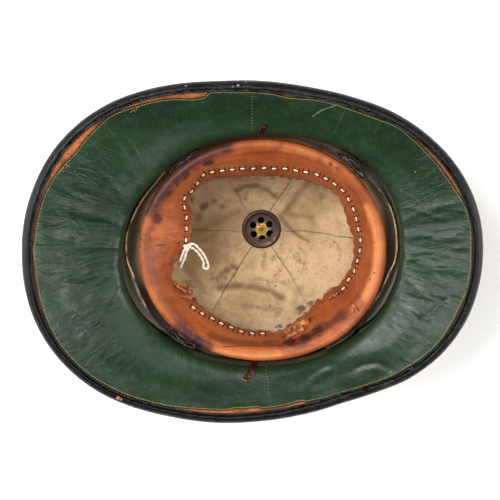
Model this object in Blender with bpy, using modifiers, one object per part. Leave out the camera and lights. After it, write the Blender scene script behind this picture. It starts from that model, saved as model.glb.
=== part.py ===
"""Pith helmet lying on its crown, with the hollow for the head facing up.

Metres, +Z up. The floor is at z = 0 and the origin is the middle of the ventilator cap's
flat face, on which the helmet rests. The front of the helmet points along +X.
A bearing is an angle in degrees around the crown's upright axis, from +X towards +Y.
A reach is a distance from that axis, and a lift is a height above the bare pith.
"""

import math

import bmesh
import bpy
from mathutils import Vector

# Crown: the bare pith at its mouth, seen from above
CROWN_FRONT = 0.1108
CROWN_BACK = 0.1128
CROWN_HALF_WIDTH = 0.0935
CROWN_SQUARENESS = 2.15
CROWN_DEPTH = 0.112
CROWN_FULLNESS = 2.12
MOUTH_RADIUS = 0.007
PITH_WALL = 0.0045

# Brim: level widths from the crown's mouth to the rim, and how far the rim stands above the mouth
BRIM_FRONT = 0.0540
BRIM_BACK = 0.0683
BRIM_SIDE = 0.0365
RIM_SQUARENESS = 2.2
RIM_WIDEST = 0.025
RISE_FRONT = 0.034
RISE_BACK = 0.038
RISE_SIDE = 0.025
BRIM_BOWL = 0.15

# Cloth and leather laid on the pith
GAP = 0.0003
CANVAS = 0.0010
GREEN_LEATHER = 0.0010
RIM_STRIP = 0.0008
RIM_STRIP_WIDTH = 0.018
STRIP_WIDEST_SHOWN = 0.0072
LINING_RAMP = 0.004
TURN_IN = 0.014
LINING_FOLD = 0.0022
CANVAS_EDGE_DEPTH = 0.008
CANVAS_LOOSE_DEPTH = 0.030
CANVAS_STANDOFF = 0.008

# Edge binding: a black leather strip folded round the rim
BINDING_LEATHER = 0.0014
BINDING_TOP = 0.0042
BINDING_UNDER = 0.0070
BINDING_RIDGE = 0.0007

# Sweatband: how far inside the crown's mouth its folded edge runs, and its slanting width
BAND_IN_FRONT = 0.0141
BAND_IN_BACK = 0.0168
BAND_IN_SIDE = 0.0065
BAND_SQUARENESS = 2.05
BAND_SHIFT = 0.0015
BAND_ABOVE_MOUTH = 0.002
BAND_WIDTH = 0.046
BAND_LEATHER = 0.0016
BAND_FOLD_RADIUS = 0.0030
BAND_SKIRT = 0.013
BAND_GATHER = 0.0010
BAND_CROWNING = 0.0025

# Leather loops that hold the sweatband off the crown
LOOP_LENGTH = 0.027
LOOP_HEIGHT = 0.011
LOOP_LEATHER = 0.0010
LOOP_DROP = 0.003
LOOP_ROOM = 0.0003

# Chin-strap hooks, bent from flat strip
HOOK_WIDTH = 0.0052
HOOK_STRIP = 0.0012
HOOK_SHANK = 0.012
HOOK_REACH = 0.0055
HOOK_CURL = 0.0028
HOOK_LEAN = -34.0
HOOK_ROOM = 0.0007

# Ventilator: a pierced plate inside, and a cap outside on a hollow neck
VENT_HOLE_RADIUS = 0.0125
VENT_SEAT_MARGIN = 0.0020
PLATE_RADIUS = 0.0165
PLATE_THICKNESS = 0.0010
PLATE_BEAD = 0.0006
AIR_HOLE_RADIUS = 0.0029
AIR_HOLE_CIRCLE = 0.0078
AIR_HOLES = 6
AIR_HOLE_TURN = 93.0
POST_RADIUS = 0.0018
POST_ROOM = 0.0004
EYELET_RADIUS = 0.0034
EYELET_HEIGHT = 0.0009
NECK_WALL = 0.0012
COLLAR_RADIUS = 0.0165
COLLAR_THICKNESS = 0.0012
WAIST_HEIGHT = 0.0016
CAP_RADIUS = 0.0225
CAP_FLAT_RADIUS = 0.0165
CAP_HEIGHT = 0.0058
CAP_FLOOR = 0.0020

# Lace with its two ends tied in a bow
LACE_DIAMETER = 0.0014
LACE_STEP = 0.0036
LACE_SPAN = 0.020
LACE_BEARING = 182.0

BEARINGS = 48
BEARING_CROWDING = 0.3
BAND_BEARINGS = 56
DOME_ANGLES = (76, 62, 48, 35, 22, 10, 0)
BRIM_PARTS = (0.40, 0.72, 1.0)
TURN_STEPS = 3
TURNED_STEPS = 24
AIR_HOLE_SIDES = 10

# Warping of the crown's mouth by wear: bearing, share of the reach there
CROWN_WARP = (
    (0, 0.0),
    (30, 0.015),
    (60, 0.0),
    (90, -0.010),
    (118, -0.018),
    (145, -0.040),
    (170, -0.015),
    (200, 0.022),
    (230, 0.020),
    (265, 0.020),
    (290, 0.012),
    (315, -0.006),
    (340, 0.0),
)
# Warping of the rim: bearing, share of the reach there
RIM_WARP = (
    (0, 0.003),
    (20, 0.007),
    (46, 0.013),
    (62, 0.002),
    (75, -0.003),
    (93, 0.002),
    (104, -0.001),
    (122, 0.011),
    (136, 0.019),
    (151, 0.011),
    (165, -0.001),
    (199, -0.003),
    (219, -0.001),
    (238, -0.008),
    (258, 0.002),
    (272, -0.007),
    (288, -0.026),
    (299, -0.039),
    (309, -0.031),
    (320, -0.010),
    (331, -0.003),
    (350, -0.002),
)
# Rim strip left bare beside the binding: bearing, share of its widest
STRIP_SHOWN = (
    (20, 0.55),
    (34, 0.75),
    (44, 0.20),
    (62, 0.30),
    (80, 0.10),
    (97, 0.10),
    (110, 0.80),
    (117, 1.0),
    (126, 0.45),
    (141, 0.35),
    (152, 0.95),
    (160, 0.50),
    (185, 0.50),
    (205, 0.45),
    (222, 0.25),
    (240, 0.20),
    (268, 0.30),
    (287, 0.30),
    (300, 0.10),
    (345, 0.05),
)
# Radial folds of the green lining: bearing, share of the fold's height
LINING_FOLDS = (
    (8, 0.7),
    (351, 1.0),
    (336, 0.5),
    (172, 0.6),
    (183, 1.0),
    (194, 0.7),
    (206, 0.5),
    (317, 0.8),
)
FOLD_HALF_ANGLE = 5.0
# How far the canvas lining's loose raw edge stands off: bearing, share of the standoff
CANVAS_LOOSENESS = (
    (0, 0.30),
    (14, 0.38),
    (24, 0.55),
    (33, 0.85),
    (43, 0.20),
    (80, 0.0),
    (98, 0.0),
    (131, 0.15),
    (140, 0.30),
    (150, 0.50),
    (165, 0.45),
    (174, 0.30),
    (184, 0.50),
    (193, 1.0),
    (202, 0.95),
    (212, 0.60),
    (224, 0.20),
    (255, 0.0),
    (275, 0.0),
    (311, 0.05),
    (320, 0.15),
    (327, 0.80),
    (334, 0.95),
    (347, 0.85),
    (354, 0.45),
)
# Six gore seams of the canvas lining stand up as low ridges: their bearings
GORE_SEAMS = (57, 118, 176, 237, 303, 357)
SEAM_RIDGE = 0.0008
# Inner edge of the sweatband: bearing, share of the folded edge's reach
BAND_EDGE = (
    (0, 0.772),
    (15, 0.747),
    (32, 0.765),
    (41, 0.746),
    (50, 0.712),
    (68, 0.665),
    (90, 0.645),
    (104, 0.656),
    (116, 0.686),
    (128, 0.742),
    (146, 0.752),
    (157, 0.645),
    (172, 0.610),
    (184, 0.655),
    (200, 0.725),
    (215, 0.775),
    (236, 0.785),
    (260, 0.829),
    (275, 0.830),
    (288, 0.800),
    (300, 0.757),
    (313, 0.708),
    (324, 0.704),
    (335, 0.760),
    (350, 0.780),
)
# Leather torn away from that edge: bearing, share of the width gone
BAND_TEARS = (
    (180, 0.0),
    (187, 0.12),
    (193, 0.32),
    (199, 0.46),
    (204, 0.34),
    (209, 0.04),
    (216, 0.04),
    (222, 0.0),
    (272, 0.0),
    (279, 0.18),
    (286, 0.06),
    (294, 0.0),
)
LOOP_BEARINGS = (
    ("spacer_loop_back_right", 131.0),
    ("spacer_loop_front_right", 43.0),
    ("spacer_loop_back_left", 227.0),
    ("spacer_loop_front_left", 311.0),
)
# Chin-strap hooks: name, bearing, share of the reach over the crown's mouth
HOOKS = (
    ("chin_strap_hook_right", 91.5, 0.5),
    ("chin_strap_hook_left", 266.0, 1.0),
)
# Route of the lace from one free end through the knot, round the bow's loop and back, as
# shares of its span from the place where it hangs over the sweatband's inner edge
LACE_ROUTE = (
    (-0.14, -0.84, -0.33),
    (-0.06, -0.61, -0.08),
    (0.05, -0.36, 0.15),
    (0.12, -0.11, 0.28),
    (0.20, 0.06, 0.28),
    (0.34, 0.05, 0.20),
    (0.51, -0.11, 0.08),
    (0.68, -0.36, -0.10),
    (0.78, -0.61, -0.28),
    (0.77, -0.81, -0.38),
    (0.86, -0.93, -0.43),
    (0.97, -0.83, -0.42),
    (0.94, -0.62, -0.32),
    (0.81, -0.29, -0.11),
    (0.63, -0.02, 0.08),
    (0.44, 0.18, 0.23),
    (0.24, 0.21, 0.35),
    (0.08, 0.11, 0.42),
    (-0.01, -0.11, 0.33),
    (-0.09, -0.34, 0.18),
    (-0.17, -0.54, -0.03),
)

KHAKI_DRILL = ("khaki_drill", (0.48, 0.40, 0.26), 0.9, 0.0)
CANVAS_CLOTH = ("canvas_cloth", (0.47, 0.36, 0.22), 0.9, 0.0)
GREEN = ("green_leather", (0.03, 0.07, 0.035), 0.45, 0.0)
TAN_STRIP = ("tan_strip", (0.50, 0.19, 0.05), 0.7, 0.0)
BLACK = ("black_leather", (0.015, 0.015, 0.017), 0.4, 0.0)
TAN_LEATHER = ("tan_leather", (0.48, 0.15, 0.04), 0.5, 0.0)
BROWN_LEATHER = ("brown_leather", (0.05, 0.025, 0.015), 0.5, 0.0)
COPPER = ("copper", (0.30, 0.12, 0.06), 0.4, 0.9)
AGED_BRASS = ("aged_brass", (0.16, 0.10, 0.06), 0.45, 0.9)
LACE_COTTON = ("lace_cotton", (0.75, 0.70, 0.60), 0.95, 0.0)


def around(rows, bearing):
    """Value at a bearing, eased between the rows of a table that closes on itself."""
    ordered = sorted(rows)
    bearing %= 360
    before = [row for row in ordered if row[0] <= bearing] or [ordered[-1]]
    after = [row for row in ordered if row[0] > bearing] or [ordered[0]]
    low, high = before[-1], after[0]
    span = (high[0] - low[0]) % 360 or 360
    part = ((bearing - low[0]) % 360) / span
    return low[1] + (high[1] - low[1]) * part * part * (3 - 2 * part)


def outline_reach(bearing, front, back, half_width, squareness, widest=0.0):
    """Reach of a closed oval outline that is widest at x = -widest."""
    turn = math.radians(bearing)
    low, high = 0.0, 2 * (front + back + half_width)
    for _ in range(50):
        middle = (low + high) / 2
        x = middle * math.cos(turn) + widest
        along = x / (front + widest) if x > 0 else -x / (back - widest)
        across = abs(middle * math.sin(turn)) / half_width
        if along**squareness + across**squareness < 1:
            low = middle
        else:
            high = middle
    return low


def at_bearing(bearing, reach, z):
    turn = math.radians(bearing)
    return Vector((reach * math.cos(turn), reach * math.sin(turn), z))


def bearing_of(index):
    """Bearings lie closer together at the front and back, where the outline bends most."""
    turn = 2 * math.pi * index / BEARINGS
    return math.degrees(turn - BEARING_CROWDING * math.sin(2 * turn) / 2) % 360


# Heights of the stack above the floor, and sizes that follow from the crown's
CROWN_OUTSIDE_Z = CAP_HEIGHT + WAIST_HEIGHT + COLLAR_THICKNESS + GAP
CROWN_TOP_Z = CROWN_OUTSIDE_Z + PITH_WALL
MOUTH_Z = CROWN_TOP_Z + CROWN_DEPTH
LINING_LIFT = GAP + RIM_STRIP + GAP
LINING_TOP = GAP + GREEN_LEATHER
CANVAS_LIFT_OVER_LEATHER = LINING_TOP + GAP
PLATE_Z = CROWN_TOP_Z + GAP + CANVAS + GAP
BAND_FRONT = CROWN_FRONT - BAND_IN_FRONT
BAND_BACK = CROWN_BACK - BAND_IN_BACK
BAND_HALF_WIDTH = CROWN_HALF_WIDTH - BAND_IN_SIDE
# The crown is flat round the vent, as far as the plate and the collar reach
VENT_SEAT_RADIUS = max(PLATE_RADIUS, COLLAR_RADIUS) + VENT_SEAT_MARGIN


def crown_reach(bearing):
    plain = outline_reach(
        bearing, CROWN_FRONT, CROWN_BACK, CROWN_HALF_WIDTH, CROWN_SQUARENESS
    )
    return plain * (1 + around(CROWN_WARP, bearing))


def rim_reach(bearing):
    plain = outline_reach(
        bearing,
        CROWN_FRONT + BRIM_FRONT,
        CROWN_BACK + BRIM_BACK,
        CROWN_HALF_WIDTH + BRIM_SIDE,
        RIM_SQUARENESS,
        RIM_WIDEST,
    )
    return plain * (1 + around(RIM_WARP, bearing))


def rim_rise(bearing):
    along = math.cos(math.radians(bearing))
    end = RISE_FRONT if along > 0 else RISE_BACK
    return RISE_SIDE + (end - RISE_SIDE) * along * along


def pith_profile(bearing):
    """The bare pith's inner face at one bearing, as (reach, z) from the vent to the rim."""
    mouth = crown_reach(bearing)
    points = [(VENT_HOLE_RADIUS, CROWN_TOP_Z), (VENT_SEAT_RADIUS, CROWN_TOP_Z)]
    for angle in DOME_ANGLES:
        turn = math.radians(angle)
        level = math.cos(turn) ** (2 / CROWN_FULLNESS)
        deep = math.sin(turn) ** (2 / CROWN_FULLNESS)
        reach = VENT_SEAT_RADIUS + (mouth - VENT_SEAT_RADIUS) * level
        points.append((reach, MOUTH_Z - CROWN_DEPTH * deep))
    rim = rim_reach(bearing)
    rise = rim_rise(bearing)
    slope = math.atan2(rise, rim - mouth)
    for step in range(1, TURN_STEPS + 1):
        turn = (math.pi / 2 - slope) * step / TURN_STEPS
        points.append(
            (
                mouth + MOUTH_RADIUS * (1 - math.cos(turn)),
                MOUTH_Z + MOUTH_RADIUS * math.sin(turn),
            )
        )
    start = points[-1]
    for part in BRIM_PARTS:
        height = part + BRIM_BOWL * part * (part - 1)
        points.append(
            (
                start[0] + (rim - start[0]) * part,
                start[1] + (MOUTH_Z + rise - start[1]) * height,
            )
        )
    return points


MOUTH_ROW = len(DOME_ANGLES) + 1
TURN_ROW = MOUTH_ROW + TURN_STEPS
RIM_ROW = TURN_ROW + len(BRIM_PARTS)


class Wall:
    """The pith's inner face at one bearing, and places on it and above it."""

    def __init__(self, bearing):
        self.bearing = bearing
        self.points = [Vector(p) for p in pith_profile(bearing)]
        self.normals = []
        for row in range(len(self.points)):
            before = self.points[max(row - 1, 0)]
            after = self.points[min(row + 1, RIM_ROW)]
            along = (after - before).normalized()
            self.normals.append(Vector((-along.y, along.x)))
        self.normals[0] = Vector((0.0, 1.0))

    def profile_point(self, row, lift=0.0):
        """(reach, z) at a row, which may lie between two rows, lifted off the pith."""
        low = min(int(row), RIM_ROW - 1)
        part = row - low
        point = self.points[low].lerp(self.points[low + 1], part)
        normal = self.normals[low].lerp(self.normals[low + 1], part)
        return point + normal * lift

    def place(self, row, lift=0.0):
        point = self.profile_point(row, lift)
        return at_bearing(self.bearing, point.x, point.y)

    def row_at_depth(self, depth):
        """Row in the crown at a depth below the mouth."""
        z = MOUTH_Z - depth
        for row in range(MOUTH_ROW, 0, -1):
            upper, lower = self.points[row].y, self.points[row - 1].y
            if lower <= z:
                return row - (upper - z) / (upper - lower)
        return 0.0

    def row_from_rim(self, distance):
        """Row on the brim at a distance in from the rim, measured along the brim."""
        left = distance
        for row in range(RIM_ROW, TURN_ROW, -1):
            length = (self.points[row] - self.points[row - 1]).length
            if left <= length:
                return row - left / length
            left -= length
        return float(TURN_ROW)

    def row_past_turn(self, distance):
        """Row on the brim at a distance out from the mouth's rounded turn."""
        left = distance
        for row in range(TURN_ROW, RIM_ROW):
            length = (self.points[row + 1] - self.points[row]).length
            if left <= length:
                return row + left / length
            left -= length
        return float(RIM_ROW)


def material(spec):
    name, colour, roughness, metallic = spec
    made = bpy.data.materials.get(name) or bpy.data.materials.new(name)
    made.use_nodes = True
    shader = made.node_tree.nodes["Principled BSDF"]
    shader.inputs["Base Color"].default_value = (*colour, 1.0)
    shader.inputs["Roughness"].default_value = roughness
    shader.inputs["Metallic"].default_value = metallic
    made.diffuse_color = (*colour, 1.0)
    return made


def start_scene():
    for obj in list(bpy.data.objects):
        bpy.data.objects.remove(obj, do_unlink=True)
    made = []
    for name in ("pith_helmet", "cutters"):
        collection = bpy.data.collections.new(name)
        bpy.context.scene.collection.children.link(collection)
        made.append(collection)
    return made


def add_mesh(name, bm, spec, collection):
    bmesh.ops.recalc_face_normals(bm, faces=bm.faces)
    mesh = bpy.data.meshes.new(name)
    bm.to_mesh(mesh)
    bm.free()
    mesh.shade_smooth()
    mesh.set_sharp_from_angle(angle=math.radians(40))
    obj = bpy.data.objects.new(name, mesh)
    obj.data.materials.append(material(spec))
    collection.objects.link(obj)
    return obj


def loft(columns, close_across=False, close_along=True):
    """A skin over columns of points, each pair of neighbours joined by triangles."""
    bm = bmesh.new()
    verts = [[bm.verts.new(point) for point in column] for column in columns]
    count, rows = len(verts), len(verts[0])
    for i in range(count if close_along else count - 1):
        here, there = verts[i], verts[(i + 1) % count]
        for j in range(rows if close_across else rows - 1):
            k = (j + 1) % rows
            bm.faces.new((here[j], there[j], there[k]))
            bm.faces.new((here[j], there[k], here[k]))
    return bm


def add_sheet(name, columns, thickness, side, spec, collection):
    """A ring-shaped sheet given a wall on one side of the points, or on both for side 0."""
    bm = loft(columns)
    mesh = bpy.data.meshes.new(name)
    bm.to_mesh(mesh)
    bm.free()
    mesh.shade_smooth()
    obj = bpy.data.objects.new(name, mesh)
    obj.data.materials.append(material(spec))
    collection.objects.link(obj)
    wall = obj.modifiers.new("wall", "SOLIDIFY")
    wall.thickness = thickness
    wall.offset = side
    wall.use_even_offset = True
    return obj


def add_tube_loft(name, columns, spec, collection):
    """A closed ring whose section, given by each column, closes on itself."""
    return add_mesh(name, loft(columns, close_across=True), spec, collection)


# Side of the points on which Solidify adds the wall: away from the head, or towards it
OUTWARD = 1.0
INWARD = -1.0


def make_shell(walls, collection):
    columns = [[wall.place(row) for row in range(RIM_ROW + 1)] for wall in walls]
    return add_sheet("helmet_shell", columns, PITH_WALL, OUTWARD, KHAKI_DRILL, collection)


def make_rim_strip(walls, collection):
    columns = []
    for wall in walls:
        inner = wall.row_from_rim(RIM_STRIP_WIDTH)
        columns.append([wall.place(row, GAP) for row in (inner, RIM_ROW)])
    return add_sheet("rim_strip", columns, RIM_STRIP, INWARD, TAN_STRIP, collection)


def fold_lift(bearing):
    """Lift of the green lining's nearest radial fold."""
    lift = 0.0
    for place, share in LINING_FOLDS:
        away = abs((bearing - place + 180) % 360 - 180)
        lift = max(lift, share * LINING_FOLD * (1 - away / FOLD_HALF_ANGLE))
    return lift


def make_brim_lining(walls, collection):
    columns = []
    for wall in walls:
        shown = STRIP_WIDEST_SHOWN * around(STRIP_SHOWN, wall.bearing)
        edge = wall.row_from_rim(BINDING_TOP + GAP + shown)
        over = wall.row_from_rim(RIM_STRIP_WIDTH + GAP)
        ramp = wall.row_from_rim(RIM_STRIP_WIDTH + LINING_RAMP)
        turn_in = wall.row_at_depth(TURN_IN)
        fold = fold_lift(wall.bearing)
        column = [wall.place(turn_in, GAP)]
        column += [wall.place(row, GAP) for row in range(MOUTH_ROW, TURN_ROW + 1)]
        column.append(wall.place(ramp, GAP + fold))
        column.append(wall.place(over, LINING_LIFT + fold / 2))
        column.append(wall.place(edge, LINING_LIFT))
        columns.append(column)
    return add_sheet("brim_lining", columns, GREEN_LEATHER, INWARD, GREEN, collection)


def seam_lift(bearing):
    """Ridge of a gore seam, on the bearing nearest to it."""
    spacing = 360 / BEARINGS
    near = min(abs((bearing - seam + 180) % 360 - 180) for seam in GORE_SEAMS)
    return SEAM_RIDGE * max(0.0, 1 - near / spacing)


def canvas_lift(bearing, depth):
    """Lift of the canvas lining, which hangs loose towards its raw edge."""
    loose = CANVAS_STANDOFF * around(CANVAS_LOOSENESS, bearing)
    if depth >= CANVAS_LOOSE_DEPTH:
        return GAP
    part = (depth - CANVAS_EDGE_DEPTH) / (CANVAS_LOOSE_DEPTH - CANVAS_EDGE_DEPTH)
    return CANVAS_LIFT_OVER_LEATHER + loose * (1 - part)


def make_crown_lining(walls, collection):
    columns = []
    for wall in walls:
        seam = seam_lift(wall.bearing)
        column = []
        for row in range(MOUTH_ROW):
            depth = MOUTH_Z - wall.points[row].y
            if depth <= CANVAS_LOOSE_DEPTH:
                continue
            ridge = seam if row > 2 else 0.0
            column.append(wall.place(row, GAP + ridge))
        turn_in = (TURN_IN + CANVAS_LOOSE_DEPTH) / 2
        for depth in (turn_in, CANVAS_EDGE_DEPTH):
            lift = canvas_lift(wall.bearing, depth)
            column.append(wall.place(wall.row_at_depth(depth), lift))
        columns.append(column)
    return add_sheet("crown_lining", columns, CANVAS, INWARD, CANVAS_CLOTH, collection)


def binding_section():
    """Section of the folded binding: distance out from the rim, height above the pith."""
    over = GAP + RIM_STRIP + GAP
    under = -PITH_WALL - GAP
    leather = BINDING_LEATHER
    ridge = BINDING_RIDGE
    top = BINDING_TOP
    below = BINDING_UNDER
    return (
        (-top, over),
        (GAP, over),
        (GAP, under),
        (-below, under),
        (-below, under - leather),
        (GAP, under - leather),
        (GAP + leather, under + leather / 2),
        (GAP + leather + ridge, (over + under) / 2),
        (GAP + leather, over - leather / 2),
        (-top * 0.12, over + leather + ridge),
        (-top * 0.42, over + leather - ridge * 0.4),
        (-top * 0.72, over + leather + ridge),
        (-top, over + leather * 0.6),
    )


def make_binding(walls, collection):
    section = binding_section()
    columns = []
    for wall in walls:
        rim = wall.points[RIM_ROW]
        up = wall.normals[RIM_ROW]
        out = Vector((up.y, -up.x))
        column = []
        for along, height in section:
            point = rim + out * along + up * height
            column.append(at_bearing(wall.bearing, point.x, point.y))
        columns.append(column)
    return add_tube_loft("edge_binding", columns, BLACK, collection)


def band_reach(bearing):
    """Reach of the sweatband's folded edge, about the band's own shifted middle."""
    return outline_reach(
        bearing, BAND_FRONT, BAND_BACK, BAND_HALF_WIDTH, BAND_SQUARENESS
    )


def band_place(bearing, reach, z):
    return at_bearing(bearing, reach, z) - Vector((0.0, BAND_SHIFT, 0.0))


def band_profile(bearing):
    """Middle of the leather at one bearing, as (reach, z) from the inner edge to the skirt."""
    mouth = band_reach(bearing)
    top = MOUTH_Z + BAND_ABOVE_MOUTH
    inner = mouth * around(BAND_EDGE, bearing)
    level = mouth - inner
    drop = math.sqrt(max(BAND_WIDTH**2 - level**2, (BAND_WIDTH / 4) ** 2))
    edge = Vector((inner, top - drop))
    shoulder = Vector((mouth - 2 * BAND_FOLD_RADIUS, top - BAND_FOLD_RADIUS / 2))
    torn = around(BAND_TEARS, bearing)
    edge = edge.lerp(shoulder, torn)
    slant = shoulder - edge
    proud = Vector((-slant.y, slant.x)).normalized() * BAND_CROWNING
    points = [edge]
    for part in (0.22, 0.55):
        bulge = math.sin(math.pi * part) * (1 - torn)
        points.append(edge + slant * part + proud * bulge)
    points.append(shoulder)
    points.append(Vector((mouth - BAND_FOLD_RADIUS, top)))
    points.append(Vector((mouth, top - BAND_FOLD_RADIUS)))
    points.append(Vector((mouth, top - BAND_SKIRT)))
    return points


def make_sweatband(collection):
    columns = []
    for index in range(BAND_BEARINGS):
        bearing = 360 * index / BAND_BEARINGS
        gather = BAND_GATHER * (1 if index % 2 else -1)
        column = []
        for number, point in enumerate(band_profile(bearing)):
            share = (1.0, 0.6, 0.15)[number] if number < 3 else 0.0
            column.append(band_place(bearing, point.x, point.y + gather * share))
        columns.append(column)
    return add_sheet("sweatband", columns, BAND_LEATHER, 0.0, TAN_LEATHER, collection)


def panel_reach(bearing, reach_at):
    """Reach of a wall that runs straight from each of the walls' bearings to the next."""
    turns = [bearing_of(index) for index in range(BEARINGS)]
    before = max(turn for turn in turns if turn <= bearing % 360)
    after = turns[(turns.index(before) + 1) % BEARINGS]
    start = at_bearing(before, reach_at(before), 0.0)
    across = at_bearing(after, reach_at(after), 0.0) - start
    return start.cross(across).z / at_bearing(bearing, 1.0, 0.0).cross(across).z


def lining_face_reach(bearing, depth):
    """Reach of the canvas lining's face towards the head, or of the leather turn-in above it."""

    def face(turn):
        wall = Wall(turn)
        row = wall.row_at_depth(depth)
        if depth < CANVAS_EDGE_DEPTH:
            return wall.profile_point(row, LINING_TOP).x
        return wall.profile_point(row, canvas_lift(turn, depth) + CANVAS).x

    return panel_reach(bearing, face)


def make_spacer_loop(name, middle, collection):
    """A closed leather loop between the band's skirt and the crown's lining."""
    top = MOUTH_Z + BAND_ABOVE_MOUTH - BAND_FOLD_RADIUS - LOOP_DROP
    bottom = top - LOOP_HEIGHT
    steps = 14
    power = 0.8
    half = LOOP_LEATHER / 2
    lowest_depth = MOUTH_Z - bottom
    half_angle = math.degrees(LOOP_LENGTH / 2 / band_reach(middle))
    centre = []
    for step in range(steps):
        turn = 2 * math.pi * step / steps
        along = math.copysign(abs(math.cos(turn)) ** power, math.cos(turn))
        across = math.copysign(abs(math.sin(turn)) ** power, math.sin(turn))
        bearing = middle + half_angle * along
        skirt = band_place(bearing, band_reach(bearing) + BAND_LEATHER / 2, top)
        skirt_reach = Vector((skirt.x, skirt.y)).length + LOOP_ROOM + half
        face = min(
            lining_face_reach(bearing, depth)
            for depth in (MOUTH_Z - top, CANVAS_EDGE_DEPTH, lowest_depth)
        )
        face_reach = face - LOOP_ROOM - half
        share = (1 + across) / 2
        reach = skirt_reach + (face_reach - skirt_reach) * share
        centre.append(at_bearing(math.degrees(math.atan2(skirt.y, skirt.x)), reach, 0.0))
    columns = []
    for step in range(steps):
        tangent = (centre[(step + 1) % steps] - centre[step - 1]).normalized()
        side = Vector((tangent.y, -tangent.x, 0.0)) * half
        here = centre[step]
        columns.append(
            [
                here + side + Vector((0, 0, top)),
                here - side + Vector((0, 0, top)),
                here - side + Vector((0, 0, bottom)),
                here + side + Vector((0, 0, bottom)),
            ]
        )
    return add_tube_loft(name, columns, BROWN_LEATHER, collection)


def hook_path(middle, reach):
    """Middle of the strip, from the crown's wall over the mouth's turn to the curled tip."""
    lean = math.tan(math.radians(HOOK_LEAN))
    half = HOOK_STRIP / 2
    over_canvas = canvas_lift(middle, CANVAS_EDGE_DEPTH) + CANVAS + HOOK_ROOM + half
    over_leather = LINING_TOP + HOOK_ROOM + half
    wall = Wall(middle)
    points = [
        wall.place(wall.row_at_depth(CANVAS_EDGE_DEPTH + HOOK_SHANK), over_canvas),
        wall.place(wall.row_at_depth(CANVAS_EDGE_DEPTH), over_canvas),
    ]
    start = wall.profile_point(MOUTH_ROW).x
    rows = [MOUTH_ROW + step for step in range(TURN_STEPS + 1)]
    rows += [wall.row_past_turn(reach * part) for part in (0.5, 1.0)]
    for row in rows:
        out = wall.profile_point(row).x - start
        bearing = middle + math.degrees(lean * out / start)
        points.append(Wall(bearing).place(row, over_leather))
    tip = points[-1]
    along = (points[-1] - points[-2]).normalized()
    up = (Wall(bearing).place(row, 1.0) - Wall(bearing).place(row)).normalized()
    points.append(tip + along * HOOK_CURL * 0.7 + up * HOOK_CURL * 0.4)
    points.append(tip + along * HOOK_CURL * 0.9 + up * HOOK_CURL * 1.3)
    return points


def make_hook(name, middle, reach, collection):
    """A flat strip swept along the hook's path."""
    path = hook_path(middle, reach)
    columns = []
    across = None
    for index, point in enumerate(path):
        ahead = path[min(index + 1, len(path) - 1)]
        behind = path[max(index - 1, 0)]
        tangent = (ahead - behind).normalized()
        radial = at_bearing(middle, 1.0, 0.0)
        if across is None:
            across = tangent.cross(radial).normalized()
        across = (across - tangent * across.dot(tangent)).normalized()
        face = tangent.cross(across).normalized() * HOOK_STRIP / 2
        side = across * HOOK_WIDTH / 2
        columns.append([point + side + face, point - side + face,
                        point - side - face, point + side - face])
    bm = loft(columns, close_across=True, close_along=False)
    bm.verts.ensure_lookup_table()
    count = len(columns)
    for first in (0, (count - 1) * 4):
        corners = [bm.verts[first + corner] for corner in range(4)]
        bm.faces.new(corners)
    return add_mesh(name, bm, COPPER, collection)


def turned(name, profile, steps, spec, collection):
    """A turned piece: the profile runs from the axis at the bottom round to the axis above."""
    bm = bmesh.new()
    verts = [bm.verts.new((reach, 0.0, z)) for reach, z in profile]
    for first, second in zip(verts, verts[1:]):
        bm.edges.new((first, second))
    mesh = bpy.data.meshes.new(name)
    bm.to_mesh(mesh)
    bm.free()
    obj = bpy.data.objects.new(name, mesh)
    obj.data.materials.append(material(spec))
    collection.objects.link(obj)
    screw = obj.modifiers.new("turn", "SCREW")
    screw.steps = steps
    screw.render_steps = steps
    screw.use_merge_vertices = True
    screw.merge_threshold = 0.00001
    screw.use_normal_calculate = True
    return obj


def make_vent_plate(collection, cutters):
    """A pressed disc with a raised bead, six air holes and an eyelet round the post."""
    bead = PLATE_RADIUS * 0.07
    top = PLATE_Z + PLATE_THICKNESS
    hole = POST_RADIUS + POST_ROOM
    profile = (
        (hole, top + EYELET_HEIGHT),
        (EYELET_RADIUS - EYELET_HEIGHT / 2, top + EYELET_HEIGHT),
        (EYELET_RADIUS, top),
        (PLATE_RADIUS - 3 * bead, top),
        (PLATE_RADIUS - 2 * bead, top + PLATE_BEAD),
        (PLATE_RADIUS - bead, top + PLATE_BEAD),
        (PLATE_RADIUS, PLATE_Z + PLATE_THICKNESS / 2),
        (PLATE_RADIUS, PLATE_Z),
        (hole, PLATE_Z),
        (hole, top + EYELET_HEIGHT),
    )
    plate = turned("vent_plate", profile, TURNED_STEPS, AGED_BRASS, collection)
    for index in range(AIR_HOLES):
        spot = at_bearing(AIR_HOLE_TURN + 360 * index / AIR_HOLES, AIR_HOLE_CIRCLE, top)
        bm = bmesh.new()
        bmesh.ops.create_cone(
            bm,
            cap_ends=True,
            segments=AIR_HOLE_SIDES,
            radius1=AIR_HOLE_RADIUS,
            radius2=AIR_HOLE_RADIUS,
            depth=6 * PLATE_THICKNESS,
        )
        cutter = add_mesh(f"air_hole_{index + 1}", bm, AGED_BRASS, cutters)
        cutter.location = spot
        cutter.hide_render = True
        cutter.display_type = "WIRE"
        cut = plate.modifiers.new(cutter.name, "BOOLEAN")
        cut.object = cutter
        cut.operation = "DIFFERENCE"
        cut.solver = "EXACT"
    return plate


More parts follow.
